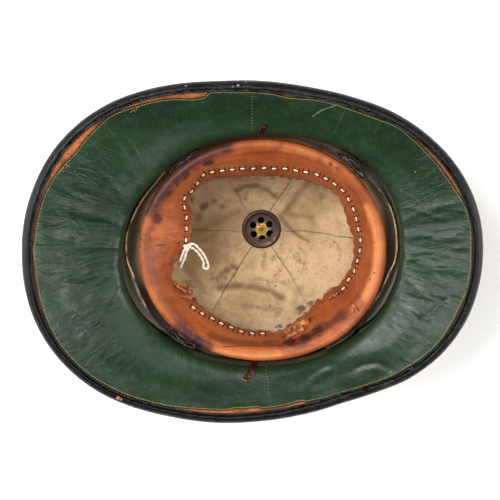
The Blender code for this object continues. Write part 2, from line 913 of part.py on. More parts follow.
def make_vent_cap(collection):
    """The cap outside, its hollow neck through the pith and the post through the plate."""
    neck = VENT_HOLE_RADIUS - GAP
    bore = neck - NECK_WALL
    collar_low = CAP_HEIGHT + WAIST_HEIGHT
    collar_top = collar_low + COLLAR_THICKNESS
    neck_top = CROWN_TOP_Z
    post_top = PLATE_Z + PLATE_THICKNESS + EYELET_HEIGHT + GAP
    profile = (
        (0.0, post_top),
        (POST_RADIUS * 0.8, post_top),
        (POST_RADIUS, post_top - POST_RADIUS * 0.2),
        (POST_RADIUS, CAP_FLOOR),
        (bore, CAP_FLOOR),
        (bore, neck_top),
        (neck, neck_top),
        (neck, collar_top),
        (COLLAR_RADIUS, collar_top),
        (COLLAR_RADIUS, collar_low),
        (neck, collar_low),
        (neck, CAP_HEIGHT),
        (CAP_RADIUS * 0.93, CAP_HEIGHT * 0.85),
        (CAP_RADIUS, CAP_HEIGHT * 0.6),
        (CAP_RADIUS * 0.96, CAP_HEIGHT * 0.28),
        ((CAP_RADIUS + CAP_FLAT_RADIUS) / 2, CAP_HEIGHT * 0.07),
        (CAP_FLAT_RADIUS, 0.0),
        (0.0, 0.0),
    )
    return turned("vent_cap", profile, TURNED_STEPS, KHAKI_DRILL, collection)


def smooth_route(route, step):
    """Points every step or so along a smooth curve through the route's points."""
    ends = [2 * route[0] - route[1]] + route + [2 * route[-1] - route[-2]]
    fine = []
    for first, start, end, last in zip(ends, ends[1:], ends[2:], ends[3:]):
        for part in (0.0, 0.25, 0.5, 0.75):
            square, cube = part * part, part**3
            fine.append(
                0.5
                * (
                    2 * start
                    + (end - first) * part
                    + (2 * first - 5 * start + 4 * end - last) * square
                    + (3 * start - first - 3 * end + last) * cube
                )
            )
    fine.append(route[-1])
    spaced = [fine[0]]
    for point in fine[1:-1]:
        if (point - spaced[-1]).length >= step:
            spaced.append(point)
    spaced.append(fine[-1])
    return spaced


def make_lace(collection):
    data = bpy.data.curves.new("lace_bow", "CURVE")
    data.dimensions = "3D"
    data.bevel_depth = LACE_DIAMETER / 2
    data.bevel_resolution = 2
    data.use_fill_caps = True
    edge = band_profile(LACE_BEARING)[0]
    hung = band_place(LACE_BEARING, edge.x, edge.y)
    route = [hung + Vector(share) * LACE_SPAN for share in LACE_ROUTE]
    points = smooth_route(route, LACE_STEP)
    spline = data.splines.new("POLY")
    spline.points.add(len(points) - 1)
    for spot, point in zip(spline.points, points):
        spot.co = (*point, 1.0)
    obj = bpy.data.objects.new("lace_bow", data)
    obj.data.materials.append(material(LACE_COTTON))
    collection.objects.link(obj)
    return obj


def main():
    helmet, cutters = start_scene()
    walls = [Wall(bearing_of(index)) for index in range(BEARINGS)]
    make_shell(walls, helmet)
    make_rim_strip(walls, helmet)
    make_brim_lining(walls, helmet)
    make_crown_lining(walls, helmet)
    make_binding(walls, helmet)
    make_sweatband(helmet)
    for name, middle in LOOP_BEARINGS:
        make_spacer_loop(name, middle, helmet)
    for name, middle, share in HOOKS:
        make_hook(name, middle, share * HOOK_REACH, helmet)
    make_vent_plate(helmet, cutters)
    make_vent_cap(helmet)
    make_lace(helmet)


main()
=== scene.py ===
"""Looks of the worn pith helmet that lies on its crown, over its CAD.

Metres, +Z up. A bearing is an angle in degrees around the crown's upright axis, from +X
towards +Y. A lift is a height above the bare pith's inner face.
"""
import math
from functools import partial, reduce

import bmesh
import bpy
import numpy as np
from mathutils import Euler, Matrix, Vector, noise
from mathutils.bvhtree import BVHTree


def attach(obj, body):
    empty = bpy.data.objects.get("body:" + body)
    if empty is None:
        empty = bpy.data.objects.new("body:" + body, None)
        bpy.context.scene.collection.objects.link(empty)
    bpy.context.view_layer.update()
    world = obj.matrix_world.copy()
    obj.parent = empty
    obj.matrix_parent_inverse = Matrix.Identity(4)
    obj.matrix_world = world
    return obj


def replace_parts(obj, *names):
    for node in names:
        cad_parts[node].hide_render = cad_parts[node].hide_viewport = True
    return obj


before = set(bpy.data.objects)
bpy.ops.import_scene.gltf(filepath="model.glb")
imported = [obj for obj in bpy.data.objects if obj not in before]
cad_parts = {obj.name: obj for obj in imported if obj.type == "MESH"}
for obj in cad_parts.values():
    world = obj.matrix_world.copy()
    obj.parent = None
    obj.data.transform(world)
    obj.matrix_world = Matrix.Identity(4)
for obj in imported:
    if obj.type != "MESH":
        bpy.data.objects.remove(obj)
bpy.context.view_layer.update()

# The photo's camera: a pixel of the 500 x 500 photo gives a ray that meets a piece
PHOTO_SIDE = 500
CAMERA_TILT = math.radians(9.0)
CAMERA_DISTANCE = 1.350
CAMERA_AIM = Vector((-0.0097, 0.0057, 0.164))
LENS = 127.5
SENSOR = 36.0
FORWARD = Vector((0.0, -math.sin(CAMERA_TILT), -math.cos(CAMERA_TILT)))
UPWARD = Vector((0.0, math.cos(CAMERA_TILT), -math.sin(CAMERA_TILT)))
RIGHTWARD = Vector((1.0, 0.0, 0.0))
CAMERA_AT = CAMERA_AIM - FORWARD * CAMERA_DISTANCE

# Sizes repeated from the part's source
CROWN_FRONT, CROWN_BACK, CROWN_HALF_WIDTH = 0.1108, 0.1128, 0.0935
CROWN_SQUARENESS, CROWN_DEPTH, CROWN_FULLNESS = 2.15, 0.112, 2.12
MOUTH_RADIUS, PITH_WALL = 0.007, 0.0045
BRIM_FRONT, BRIM_BACK, BRIM_SIDE = 0.0540, 0.0683, 0.0365
RIM_SQUARENESS, RIM_WIDEST = 2.2, 0.025
RISE_FRONT, RISE_BACK, RISE_SIDE, BRIM_BOWL = 0.034, 0.038, 0.025, 0.15
GAP, CANVAS, GREEN_LEATHER, RIM_STRIP = 0.0003, 0.0010, 0.0010, 0.0008
RIM_STRIP_WIDTH = 0.018
LINING_RAMP, TURN_IN = 0.004, 0.014
CANVAS_EDGE_DEPTH, CANVAS_LOOSE_DEPTH, CANVAS_STANDOFF = 0.008, 0.030, 0.008
BINDING_LEATHER, BINDING_TOP, BINDING_UNDER, BINDING_RIDGE = 0.0014, 0.0042, 0.0070, 0.0007
BAND_FRONT, BAND_BACK, BAND_HALF_WIDTH = 0.0967, 0.0960, 0.0870
BAND_SQUARENESS, BAND_SHIFT, BAND_ABOVE_MOUTH = 2.05, 0.0015, 0.002
BAND_WIDTH, BAND_LEATHER, BAND_SKIRT = 0.046, 0.0016, 0.013
BAND_OUTLINE = (BAND_FRONT, BAND_BACK, BAND_HALF_WIDTH, BAND_SQUARENESS)
LOOP_LENGTH, LOOP_HEIGHT, LOOP_LEATHER, LOOP_DROP = 0.027, 0.011, 0.0010, 0.003
BAND_FOLD_RADIUS, LOOP_ROOM = 0.003, 0.0003
HOOK_WIDTH, HOOK_STRIP, HOOK_SHANK, HOOK_REACH = 0.0052, 0.0012, 0.012, 0.0055
HOOK_CURL, HOOK_LEAN, HOOK_ROOM = 0.0028, -34.0, 0.0007
VENT_HOLE_RADIUS, VENT_SEAT_RADIUS = 0.0125, 0.0185
PLATE_RADIUS, PLATE_THICKNESS, PLATE_BEAD = 0.0165, 0.0010, 0.0006
AIR_HOLE_RADIUS, AIR_HOLE_CIRCLE, AIR_HOLE_TURN = 0.0029, 0.0078, 93.0
CAP_HEIGHT, CAP_FLOOR, WAIST_HEIGHT, COLLAR_THICKNESS = 0.0058, 0.0020, 0.0016, 0.0012
LACE_DIAMETER = 0.0014
CROWN_TOP_Z = CAP_HEIGHT + WAIST_HEIGHT + COLLAR_THICKNESS + GAP + PITH_WALL
MOUTH_Z = CROWN_TOP_Z + CROWN_DEPTH
PLATE_Z = CROWN_TOP_Z + GAP + CANVAS + GAP

# Tables of (bearing, share), as in the part's source
CROWN_WARP = ((0, 0.0), (30, 0.015), (60, 0.0), (90, -0.010), (118, -0.018), (145, -0.040),
              (170, -0.015), (200, 0.022), (230, 0.020), (265, 0.020), (290, 0.012),
              (315, -0.006), (340, 0.0))
RIM_WARP = ((0, 0.003), (20, 0.007), (46, 0.013), (62, 0.002), (75, -0.003), (93, 0.002),
            (104, -0.001), (122, 0.011), (136, 0.019), (151, 0.011), (165, -0.001),
            (199, -0.003), (219, -0.001), (238, -0.008), (258, 0.002), (272, -0.007),
            (288, -0.026), (299, -0.039), (309, -0.031), (320, -0.010), (331, -0.003),
            (350, -0.002))
CANVAS_LOOSENESS = ((0, 0.30), (14, 0.38), (24, 0.55), (33, 0.85), (43, 0.20), (80, 0.0),
                    (98, 0.0), (131, 0.15), (140, 0.30), (150, 0.50), (165, 0.45),
                    (174, 0.30), (184, 0.50), (193, 1.0), (202, 0.95), (212, 0.60),
                    (224, 0.20), (255, 0.0), (275, 0.0), (311, 0.05), (320, 0.15),
                    (327, 0.80), (334, 0.95), (347, 0.85), (354, 0.45))
GORE_SEAMS = (57, 118, 176, 237, 303, 357)
BAND_EDGE = ((0, 0.772), (15, 0.747), (32, 0.765), (41, 0.746), (50, 0.712), (68, 0.665),
             (90, 0.645), (104, 0.656), (116, 0.686), (128, 0.742), (146, 0.752),
             (157, 0.645), (172, 0.610), (184, 0.655), (200, 0.725), (215, 0.775),
             (236, 0.785), (260, 0.829), (275, 0.830), (288, 0.800), (300, 0.757),
             (313, 0.708), (324, 0.704), (335, 0.760), (350, 0.780))
BAND_TEARS = ((180, 0.0), (187, 0.12), (193, 0.32), (199, 0.46), (204, 0.34), (209, 0.04),
              (216, 0.04), (222, 0.0), (272, 0.0), (279, 0.18), (286, 0.06), (294, 0.0))
LOOPS = (("spacer_loop_back_right", 131.0), ("spacer_loop_front_right", 43.0),
         ("spacer_loop_back_left", 227.0), ("spacer_loop_front_left", 311.0))

# Name, bearing, and share of the reach over the crown's mouth
HOOKS = (("chin_strap_hook_right", 91.5, 0.5), ("chin_strap_hook_left", 266.0, 1.0))

# Bearings of the columns in the shell, linings, rim strip and binding
AROUND = 720
ROUND = np.arange(AROUND) * 360.0 / AROUND


def eased(rows, bearing):
    """Smooth values at bearings, through a table that closes on itself, with no overshoot."""
    rows = sorted(rows)
    at = np.array([row[0] for row in rows], float)
    value = np.array([row[1] for row in rows], float)
    at = np.concatenate([at - 360, at, at + 360])
    value = np.tile(value, 3)
    step = np.diff(at)
    rise = np.diff(value) / step
    slope = np.zeros(len(at))
    same = rise[:-1] * rise[1:] > 0
    slope[1:-1][same] = 2 * rise[:-1][same] * rise[1:][same] / (rise[:-1] + rise[1:])[same]
    bearing = np.asarray(bearing, float) % 360
    i = np.searchsorted(at, bearing, side="right") - 1
    t = (bearing - at[i]) / step[i]
    return (
        value[i] * (2 * t**3 - 3 * t**2 + 1)
        + slope[i] * step[i] * (t**3 - 2 * t**2 + t)
        + value[i + 1] * (3 * t**2 - 2 * t**3)
        + slope[i + 1] * step[i] * (t**3 - t**2)
    )


def soft(low, high, value):
    """0 below low and 1 above high, eased between."""
    t = np.clip((np.asarray(value, float) - low) / (high - low), 0, 1)
    return t * t * (3 - 2 * t)


def hump(value, middle, width):
    """1 at the middle, falling to 0 on both sides."""
    return np.exp(-((value - middle) / width) ** 2)


def apart(bearing, middle):
    """Degrees from a middle bearing, between -180 and 180."""
    return (bearing - middle + 180) % 360 - 180


def polar(reach, height, turn):
    """Points in space at a reach from the upright axis and a height, at turns around it."""
    reach, height, turn = np.broadcast_arrays(reach, height, turn)
    return np.stack([reach * np.cos(turn), reach * np.sin(turn), height], -1)


def ring_noise(turns, size, seed):
    """Noise around a circle, one value for each turn."""
    return np.array([noise.noise(Vector((math.cos(t) * size, math.sin(t) * size, seed)))
                     for t in turns])


def outline_reach(bearing, front, back, half_width, squareness, widest=0.0):
    """Reach of an oval outline at bearings, of another length to the front and the back."""
    turn = np.radians(bearing)
    low = np.zeros(len(turn))
    high = np.full(len(turn), 2 * (front + back + half_width))
    for _ in range(44):
        middle = (low + high) / 2
        x = middle * np.cos(turn) + widest
        along = np.where(x > 0, x / (front + widest), -x / (back - widest))
        across = np.abs(middle * np.sin(turn)) / half_width
        inside = along**squareness + across**squareness < 1
        low = np.where(inside, middle, low)
        high = np.where(inside, high, middle)
    return low


class Walls:
    """The pith's inner face at many bearings, and places on it and above it."""

    def __init__(self, bearing):
        self.bearing = np.asarray(bearing, float)
        self.turn = np.radians(self.bearing)
        plain = outline_reach(
            self.bearing, CROWN_FRONT, CROWN_BACK, CROWN_HALF_WIDTH, CROWN_SQUARENESS
        )
        mouth = plain * (1 + eased(CROWN_WARP, self.bearing))
        rim = outline_reach(
            self.bearing,
            CROWN_FRONT + BRIM_FRONT,
            CROWN_BACK + BRIM_BACK,
            CROWN_HALF_WIDTH + BRIM_SIDE,
            RIM_SQUARENESS,
            RIM_WIDEST,
        ) * (1 + eased(RIM_WARP, self.bearing))
        along = np.cos(self.turn)
        end = np.where(along > 0, RISE_FRONT, RISE_BACK)
        rise = RISE_SIDE + (end - RISE_SIDE) * along**2
        rows = []
        for part in (0.0, 0.35, 0.7):
            reach = VENT_HOLE_RADIUS + (VENT_SEAT_RADIUS - VENT_HOLE_RADIUS) * part
            rows.append((np.full(len(mouth), reach), np.full(len(mouth), CROWN_TOP_Z)))
        for angle in np.linspace(90, 0, 46):
            turn = math.radians(angle)
            level = max(math.cos(turn), 0.0) ** (2 / CROWN_FULLNESS)
            deep = math.sin(turn) ** (2 / CROWN_FULLNESS)
            rows.append((VENT_SEAT_RADIUS + (mouth - VENT_SEAT_RADIUS) * level,
                         np.full(len(mouth), MOUTH_Z - CROWN_DEPTH * deep)))
        self.mouth_row = len(rows) - 1
        slope = np.arctan2(rise, rim - mouth)
        for step in range(1, 9):
            turn = (math.pi / 2 - slope) * step / 8
            rows.append((mouth + MOUTH_RADIUS * (1 - np.cos(turn)),
                         MOUTH_Z + MOUTH_RADIUS * np.sin(turn)))
        self.turn_row = len(rows) - 1
        start = rows[-1]
        for part in np.linspace(0, 1, 25)[1:]:
            height = part + BRIM_BOWL * part * (part - 1)
            rows.append((start[0] + (rim - start[0]) * part,
                         start[1] + (MOUTH_Z + rise - start[1]) * height))
        self.points = np.array([np.stack(row, -1) for row in rows])
        steps = np.gradient(self.points, axis=0)
        steps /= np.linalg.norm(steps, axis=-1, keepdims=True)
        self.normals = np.stack([-steps[..., 1], steps[..., 0]], -1)
        lengths = np.linalg.norm(np.diff(self.points, axis=0), axis=-1)
        self.run = np.concatenate([np.zeros((1, len(mouth))), np.cumsum(lengths, 0)])
        self.run_mouth = self.run[self.mouth_row]
        self.run_turn = self.run[self.turn_row]
        self.run_rim = self.run[-1]

    def run_at_depth(self, depth):
        """Run along the wall at a depth under the mouth, one for each bearing."""
        z = MOUTH_Z - np.broadcast_to(depth, self.turn.shape)
        rows = slice(2, self.mouth_row + 1)
        return np.array([
            np.interp(z[i], self.points[rows, i, 1], self.run[rows, i])
            for i in range(len(z))
        ])

    def place(self, run, lift):
        """Points and normals for an array of runs, with one column for each bearing."""
        run = np.asarray(run, float)
        lift = np.broadcast_to(lift, run.shape)
        flat = np.empty(run.shape + (2,))
        face = np.empty(run.shape + (2,))
        for i in range(run.shape[1]):
            for k in (0, 1):
                flat[:, i, k] = np.interp(run[:, i], self.run[:, i], self.points[:, i, k])
                face[:, i, k] = np.interp(run[:, i], self.run[:, i], self.normals[:, i, k])
        face /= np.linalg.norm(face, axis=-1, keepdims=True)
        flat = flat + face * lift[..., None]
        return (polar(flat[..., 0], flat[..., 1], self.turn),
                polar(face[..., 0], face[..., 1], self.turn))


def photo_ray(pixel):
    """The camera's place, and the way from there through a pixel of the photo."""
    x, y = pixel
    focal = LENS / SENSOR * PHOTO_SIDE
    half = PHOTO_SIDE / 2
    way = FORWARD + RIGHTWARD * (x - half) / focal + UPWARD * (half - y) / focal
    return CAMERA_AT, way.normalized()


def quads(rows, count, closed):
    """Corners of the faces between rows of points that each run round: (rows, count, 4)."""
    here = np.arange(rows if closed else rows - 1)[:, None] * count
    there = (here + count) % (rows * count)
    i = np.arange(count)
    j = (i + 1) % count
    return np.stack([here + i, here + j, there + j, there + i], -1)


class Skin:
    """A ring of points with normals, which can be creased before it becomes a mesh."""

    def __init__(self, points, normals):
        self.points, self.normals = points, normals
        self.lift = np.zeros(points.shape[:2])
        faces = quads(*points.shape[:2], False).reshape(-1, 4).tolist()
        self.tree = BVHTree.FromPolygons(points.reshape(-1, 3).tolist(), faces)

    def seen(self, pixel):
        """Place under a pixel of the photo and the normal towards the camera, or two Nones."""
        spot, face, _, _ = self.tree.ray_cast(*photo_ray(pixel))
        if spot is not None and face.dot(FORWARD) > 0:
            face = -face
        return spot, face

    def find(self, pixel):
        """Place under a pixel of the photo, or None."""
        return self.seen(pixel)[0]

    def crease(self, pixels, height, width, skew=0.0):
        """Raises (or with a height below 0 sinks) a line through pixels of the photo."""
        path = [self.find(pixel) for pixel in pixels]
        path = np.array([spot for spot in path if spot is not None])
        if len(path) < 2:
            return
        steps = np.linalg.norm(np.diff(path, axis=0), axis=1)
        total = steps.sum()
        best = np.full(self.points.shape[:2], 1e9)
        share = np.zeros(self.points.shape[:2])
        side = np.zeros(self.points.shape[:2])
        gone = 0.0
        for start, end, length in zip(path, path[1:], steps):
            way = (end - start) / length
            rel = self.points - start
            t = np.clip(rel @ way, 0, length)
            off = rel - t[..., None] * way
            away = np.linalg.norm(off, axis=-1)
            near = away < best
            best = np.where(near, away, best)
            share = np.where(near, (gone + t) / total, share)
            turn = np.cross(np.broadcast_to(way, off.shape), off)
            side = np.where(near, np.sign((turn * self.normals).sum(-1)), side)
            gone += length
        ends = np.sqrt(np.clip(np.sin(math.pi * np.clip(share, 0.02, 0.98)), 0, 1))
        q = best / width
        self.lift += height * ends * np.exp(-q * q) * (1 + skew * side * q)

    def raised(self):
        return self.points + self.normals * self.lift[..., None]


def ring_mesh(name, points, look, uv=None):
    """A mesh through rows of points that run round; the last row meets the first one."""
    corners = quads(*points.shape[:2], True)
    mesh = bpy.data.meshes.new(name)
    mesh.from_pydata(points.reshape(-1, 3).tolist(), [], corners.reshape(-1, 4).tolist())
    if uv is not None:
        grid = uv.reshape(-1, 2)
        loops = grid[corners]
        # The last face of a row goes on past its first bearing
        step = grid[corners[:, 1, 0], 0] - grid[corners[:, 0, 0], 0]
        loops[:, -1, 1:3, 0] = (grid[corners[:, -1, 0], 0] + step)[:, None]
        mesh.uv_layers.new(name="cloth").data.foreach_set("uv", loops.reshape(-1))
    return finish_mesh(name, mesh, look)


def placed(name, data):
    """A new object of the scene, with its mesh, light or camera."""
    made = bpy.data.objects.new(name, data)
    bpy.context.scene.collection.objects.link(made)
    return made


def finish_mesh(name, mesh, look, sharp=50):
    """Makes a mesh a smooth piece that rides on the root, with its look and slot."""
    bm = bmesh.new()
    bm.from_mesh(mesh)
    bmesh.ops.recalc_face_normals(bm, faces=bm.faces)
    bm.to_mesh(mesh)
    bm.free()
    mesh.shade_smooth()
    mesh.set_sharp_from_angle(angle=math.radians(sharp))
    mesh.materials.append(look)
    piece = placed(name, mesh)
    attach(piece, "root")
    return piece


def bearing_at(pixel, height):
    """Bearing of the point under a pixel of the photo on a level plane."""
    start, way = photo_ray(pixel)
    spot = start + way * ((height - start.z) / way.z)
    return math.degrees(math.atan2(spot.y, spot.x)) % 360


def add_rings(bm, rings):
    """Joins rings of points into one closed tube."""
    loops = [[bm.verts.new(point) for point in ring] for ring in rings]
    count = len(loops[0])
    for first, second in zip(loops, loops[1:]):
        for s in range(count):
            bm.faces.new((first[s], first[(s + 1) % count], second[(s + 1) % count], second[s]))
    bm.faces.new(loops[0])
    bm.faces.new(loops[-1])


def frames_along(path, start=(0.0, 0.0, 1.0)):
    """For each point of a path, the point, its tangent and an untwisted normal."""
    path = [Vector(point) for point in path]
    normal = Vector(start)
    frames = []
    for index, point in enumerate(path):
        ahead, behind = path[min(index + 1, len(path) - 1)], path[max(index - 1, 0)]
        tangent = (ahead - behind).normalized()
        normal = (normal - tangent * normal.dot(tangent)).normalized()
        frames.append((point, tangent, normal))
    return frames


def add_string(bm, path, radius, pitch=0.0026, depth=0.22, sides=10):
    """A string of two strands: its section has two lobes, which turn along the path."""
    rings, gone, last = [], 0.0, None
    for point, tangent, normal in frames_along(path):
        gone += (point - last).length if last is not None else 0.0
        last = point
        other = tangent.cross(normal)
        ring = []
        for s in range(sides):
            angle = 2 * math.pi * s / sides
            lobe = math.cos(2 * (angle - math.pi * gone / pitch))
            girth = radius * (1 - depth + depth * lobe)
            ring.append(point + (normal * math.cos(angle) + other * math.sin(angle)) * girth)
        rings.append(ring)
    add_rings(bm, rings)


def add_strip(bm, path, halves):
    """A strip with rounded edges; halves are its (half width, half thickness) vectors."""
    corners = ((1, 0.5), (0.9, 1), (-0.9, 1), (-1, 0.5),
               (-1, -0.5), (-0.9, -1), (0.9, -1), (1, -0.5))
    add_rings(bm, [[Vector(point) + wide * u + thick * v for u, v in corners]
                   for point, (wide, thick) in zip(path, halves)])


def add_curl(bm, path, ups, radius, opening, thickness, lean=0.0):
    """A torn edge rolled up: a ragged C-shaped section along a path."""
    rings = []
    for (point, tangent, _), up in zip(frames_along(path), ups):
        up = (up - tangent * up.dot(tangent)).normalized()
        side = tangent.cross(up)
        rough = 1 + 0.20 * noise.noise(point * 260)
        angles = [lean + opening * (k / 9 - 0.5) for k in range(10)]
        outer = [(radius * rough, a) for a in angles]
        inner = [(radius * rough - thickness, a) for a in reversed(angles)]
        rings.append([point + up * (r * math.cos(a)) + side * (r * math.sin(a)) + up * 0.3 * radius
                      for r, a in outer + inner])
    add_rings(bm, rings)


def add_bead(bm, centre, along, up, half_length, half_width, half_height, rings=6, sides=8):
    """A rounded bead, such as one stitch, lying along a direction."""
    across = up.cross(along).normalized()
    up = along.cross(across).normalized()
    turns = [2 * math.pi * s / sides for s in range(sides)]
    loops = []
    for r in range(rings + 1):
        t = -1 + 2 * r / rings
        girth = math.sqrt(max(1 - abs(t) ** 3.5, 0.0)) if 0 < r < rings else 0.25
        middle = centre + along * half_length * t
        wide, high = across * half_width * girth, up * half_height * girth
        loops.append([middle + wide * math.cos(turn) + high * math.sin(turn) for turn in turns])
    add_rings(bm, loops)


# The finest stitches, and plain round lines without strands
add_stitch = partial(add_bead, rings=4, sides=6)
add_line = partial(add_string, depth=0.0, sides=6)


def mesh_piece(name, bm, look, sharp=50):
    mesh = bpy.data.meshes.new(name)
    bm.to_mesh(mesh)
    bm.free()
    return finish_mesh(name, mesh, look, sharp)


def sheet_section(top, normals, thickness):
    """Closes a skin into a sheet, with the thickness below the given top points."""
    return np.concatenate([top, (top - normals * thickness)[::-1]])


def both_faces(uv):
    """The same places in the cloth for the points of a sheet's two faces."""
    return np.concatenate([uv, uv[::-1]])


def drift(points, scale, seed, octaves=3):
    """Smooth noise of about -1 to 1 at an array of points."""
    flat = points.reshape(-1, points.shape[-1])
    out = np.empty(len(flat))
    for k, p in enumerate(flat):
        out[k] = noise.fractal(
            Vector((p[0] * scale[0] + seed, p[1] * scale[1] - seed, p[2] * scale[2])),
            1.0, 2.0, octaves)
    return out.reshape(points.shape[:-1])


def rgb(red, green, blue):
    """Linear colour from 0 to 255 screen values."""
    return tuple((v / 255 / 12.92) if v <= 10.3 else ((v / 255 + 0.055) / 1.055) ** 2.4
                 for v in (red, green, blue)) + (1.0,)


class Look:
    """A node material, made step by step."""

    def __init__(self, name, metallic=0.0, sheen=0.0, coat=0.0, specular=0.5):
        self.material = bpy.data.materials.new(name)
        self.material.use_nodes = True
        self.tree = self.material.node_tree
        self.shader = self.tree.nodes["Principled BSDF"]
        self.give("Metallic", metallic)
        self.give("Sheen Weight", sheen)
        self.give("Coat Weight", coat)
        self.give("Specular IOR Level", specular)
        coords = self.tree.nodes.new("ShaderNodeTexCoord")
        self.where = coords.outputs["Object"]
        self.uv = coords.outputs["UV"]
        self.tone = None

    def feed(self, socket, value):
        """Links another socket to an input, or gives the input a plain value."""
        if isinstance(value, bpy.types.NodeSocket):
            self.tree.links.new(value, socket)
        else:
            socket.default_value = value

    def give(self, name, value):
        """Feeds one input of the shader."""
        self.feed(self.shader.inputs[name], value)

    def node(self, kind, out, ins=(), **settings):
        """Adds a node with its inputs and settings; the answer is its output."""
        made = self.tree.nodes.new(kind)
        for key, value in settings.items():
            setattr(made, key, value)
        for key, value in dict(ins).items():
            self.feed(made.inputs[key], value)
        return made.outputs[out]

    def vector(self, operation, first, second=(0.0, 0.0, 0.0), out="Value"):
        return self.node("ShaderNodeVectorMath", out, {0: first, 1: second},
                         operation=operation)

    def axis(self, letter):
        return self.node("ShaderNodeSeparateXYZ", letter, {"Vector": self.where})

    def stretch(self, source, x, y, z=1.0, turn=0.0):
        return self.node("ShaderNodeMapping", "Vector", {
            "Vector": source, "Rotation": (0.0, 0.0, turn), "Scale": (x, y, z)})

    def noise(self, scale, detail=3.0, rough=0.55, source=None, distortion=0.0):
        return self.node("ShaderNodeTexNoise", "Fac", {
            "Vector": source or self.where, "Scale": scale, "Detail": detail,
            "Roughness": rough, "Distortion": distortion})

    def cells(self, scale, out="Distance"):
        return self.node("ShaderNodeTexVoronoi", out, {"Vector": self.where, "Scale": scale})

    def specks(self, scale, size, chance):
        """1 in the middle of a few cells, 0 elsewhere."""
        lone = self.ranged(self.cells(scale, "Color"), *chance)
        return self.sums("MULTIPLY", self.ranged(self.cells(scale), *size), lone)

    def weave(self, scale, distortion, way):
        return self.node("ShaderNodeTexWave", "Fac", {
            "Vector": self.uv, "Scale": scale, "Distortion": distortion, "Detail": 2.0},
            bands_direction=way)

    def sums(self, operation, first, second=0.0, clamp=False):
        return self.node("ShaderNodeMath", "Value", {0: first, 1: second},
                         operation=operation, use_clamp=clamp)

    def joined(self, operation, values):
        """One value out of several, such as the greatest of them."""
        return reduce(partial(self.sums, operation), values)

    def ranged(self, value, low, high, out_low=0.0, out_high=1.0):
        return self.node("ShaderNodeMapRange", "Result", {
            "Value": value, "From Min": low, "From Max": high,
            "To Min": out_low, "To Max": out_high}, interpolation_type="SMOOTHSTEP")

    def mix(self, part, first, second):
        return self.node("ShaderNodeMix", 2, {0: part, 6: first, 7: second},
                         data_type="RGBA")

    def tint(self, share, *shades):
        """Lays a shade over the colour so far where the share is 1; the first call has two."""
        under = rgb(*shades[0]) if len(shades) > 1 else self.tone
        self.tone = self.mix(share, under, rgb(*shades[-1]))
        self.give("Base Color", self.tone)

    def marked(self, rows, fray, ragged, feather):
        """1 within the radius of rows of (distance, radius, strength), and 0 outside."""
        fray = self.sums("MULTIPLY", self.sums("SUBTRACT", fray, 0.5), ragged * 4)
        shares = []
        for away, radius, strength in rows:
            share = self.sums("ADD", self.sums("DIVIDE", away, radius), fray)
            shares.append(self.ranged(share, 1.0, feather, 0.0, strength))
        return self.joined("MAXIMUM", shares)

    def spots(self, rows, ragged=0.35, scale=260.0, feather=0.45):
        """1 inside any of the blots given as (place, radius, strength), 0 outside."""
        if not rows:
            return 0.0
        found = [(self.vector("DISTANCE", self.where, tuple(place)), radius, strength)
                 for place, radius, strength in rows]
        return self.marked(found, self.noise(scale, 6.0, 0.65), ragged, feather)

    def strokes(self, rows, ragged=0.25, scale=80.0, feather=0.0):
        """1 along soft lines given as (places, radius, strength), 0 away from them."""
        if not rows:
            return 0.0
        found = []
        for places, radius, strength in rows:
            aways = []
            for start, end in zip(places, places[1:]):
                way = end - start
                rel = self.vector("SUBTRACT", self.where, tuple(start), "Vector")
                part = self.vector("DOT_PRODUCT", rel, tuple(way / way.length_squared))
                foot = self.node("ShaderNodeVectorMath", "Vector",
                                 {0: tuple(way), "Scale": self.sums("ADD", part, 0.0, True)},
                                 operation="SCALE")
                aways.append(self.vector("DISTANCE", rel, foot))
            found.append((self.joined("MINIMUM", aways), radius, strength))
        return self.marked(found, self.noise(scale, 4.0, 0.6), ragged, feather)

    def bump(self, height, distance, strength=1.0, under=None):
        """Adds relief over the relief given as under; the shader takes the last one."""
        ins = {"Height": height, "Distance": distance, "Strength": strength}
        if under is not None:
            ins["Normal"] = under
        made = self.node("ShaderNodeBump", "Normal", ins)
        self.give("Normal", made)
        return made


def blots_found(skin, rows):
    """Blots given as (x, y, radius in mm, strength) in the photo, found on a skin."""
    found = []
    for x, y, radius, strength in rows:
        spot = skin.find((x, y))
        if spot is not None:
            found.append((spot, radius / 1000, strength))
    return found


def lines_found(skin, rows):
    """Lines given as (pixels of the photo, radius in mm, strength), found on a skin."""
    found = []
    for pixels, radius, strength in rows:
        places = [skin.find(pixel) for pixel in pixels]
        places = [place for place in places if place is not None]
        if len(places) > 1:
            found.append((places, radius / 1000, strength))
    return found


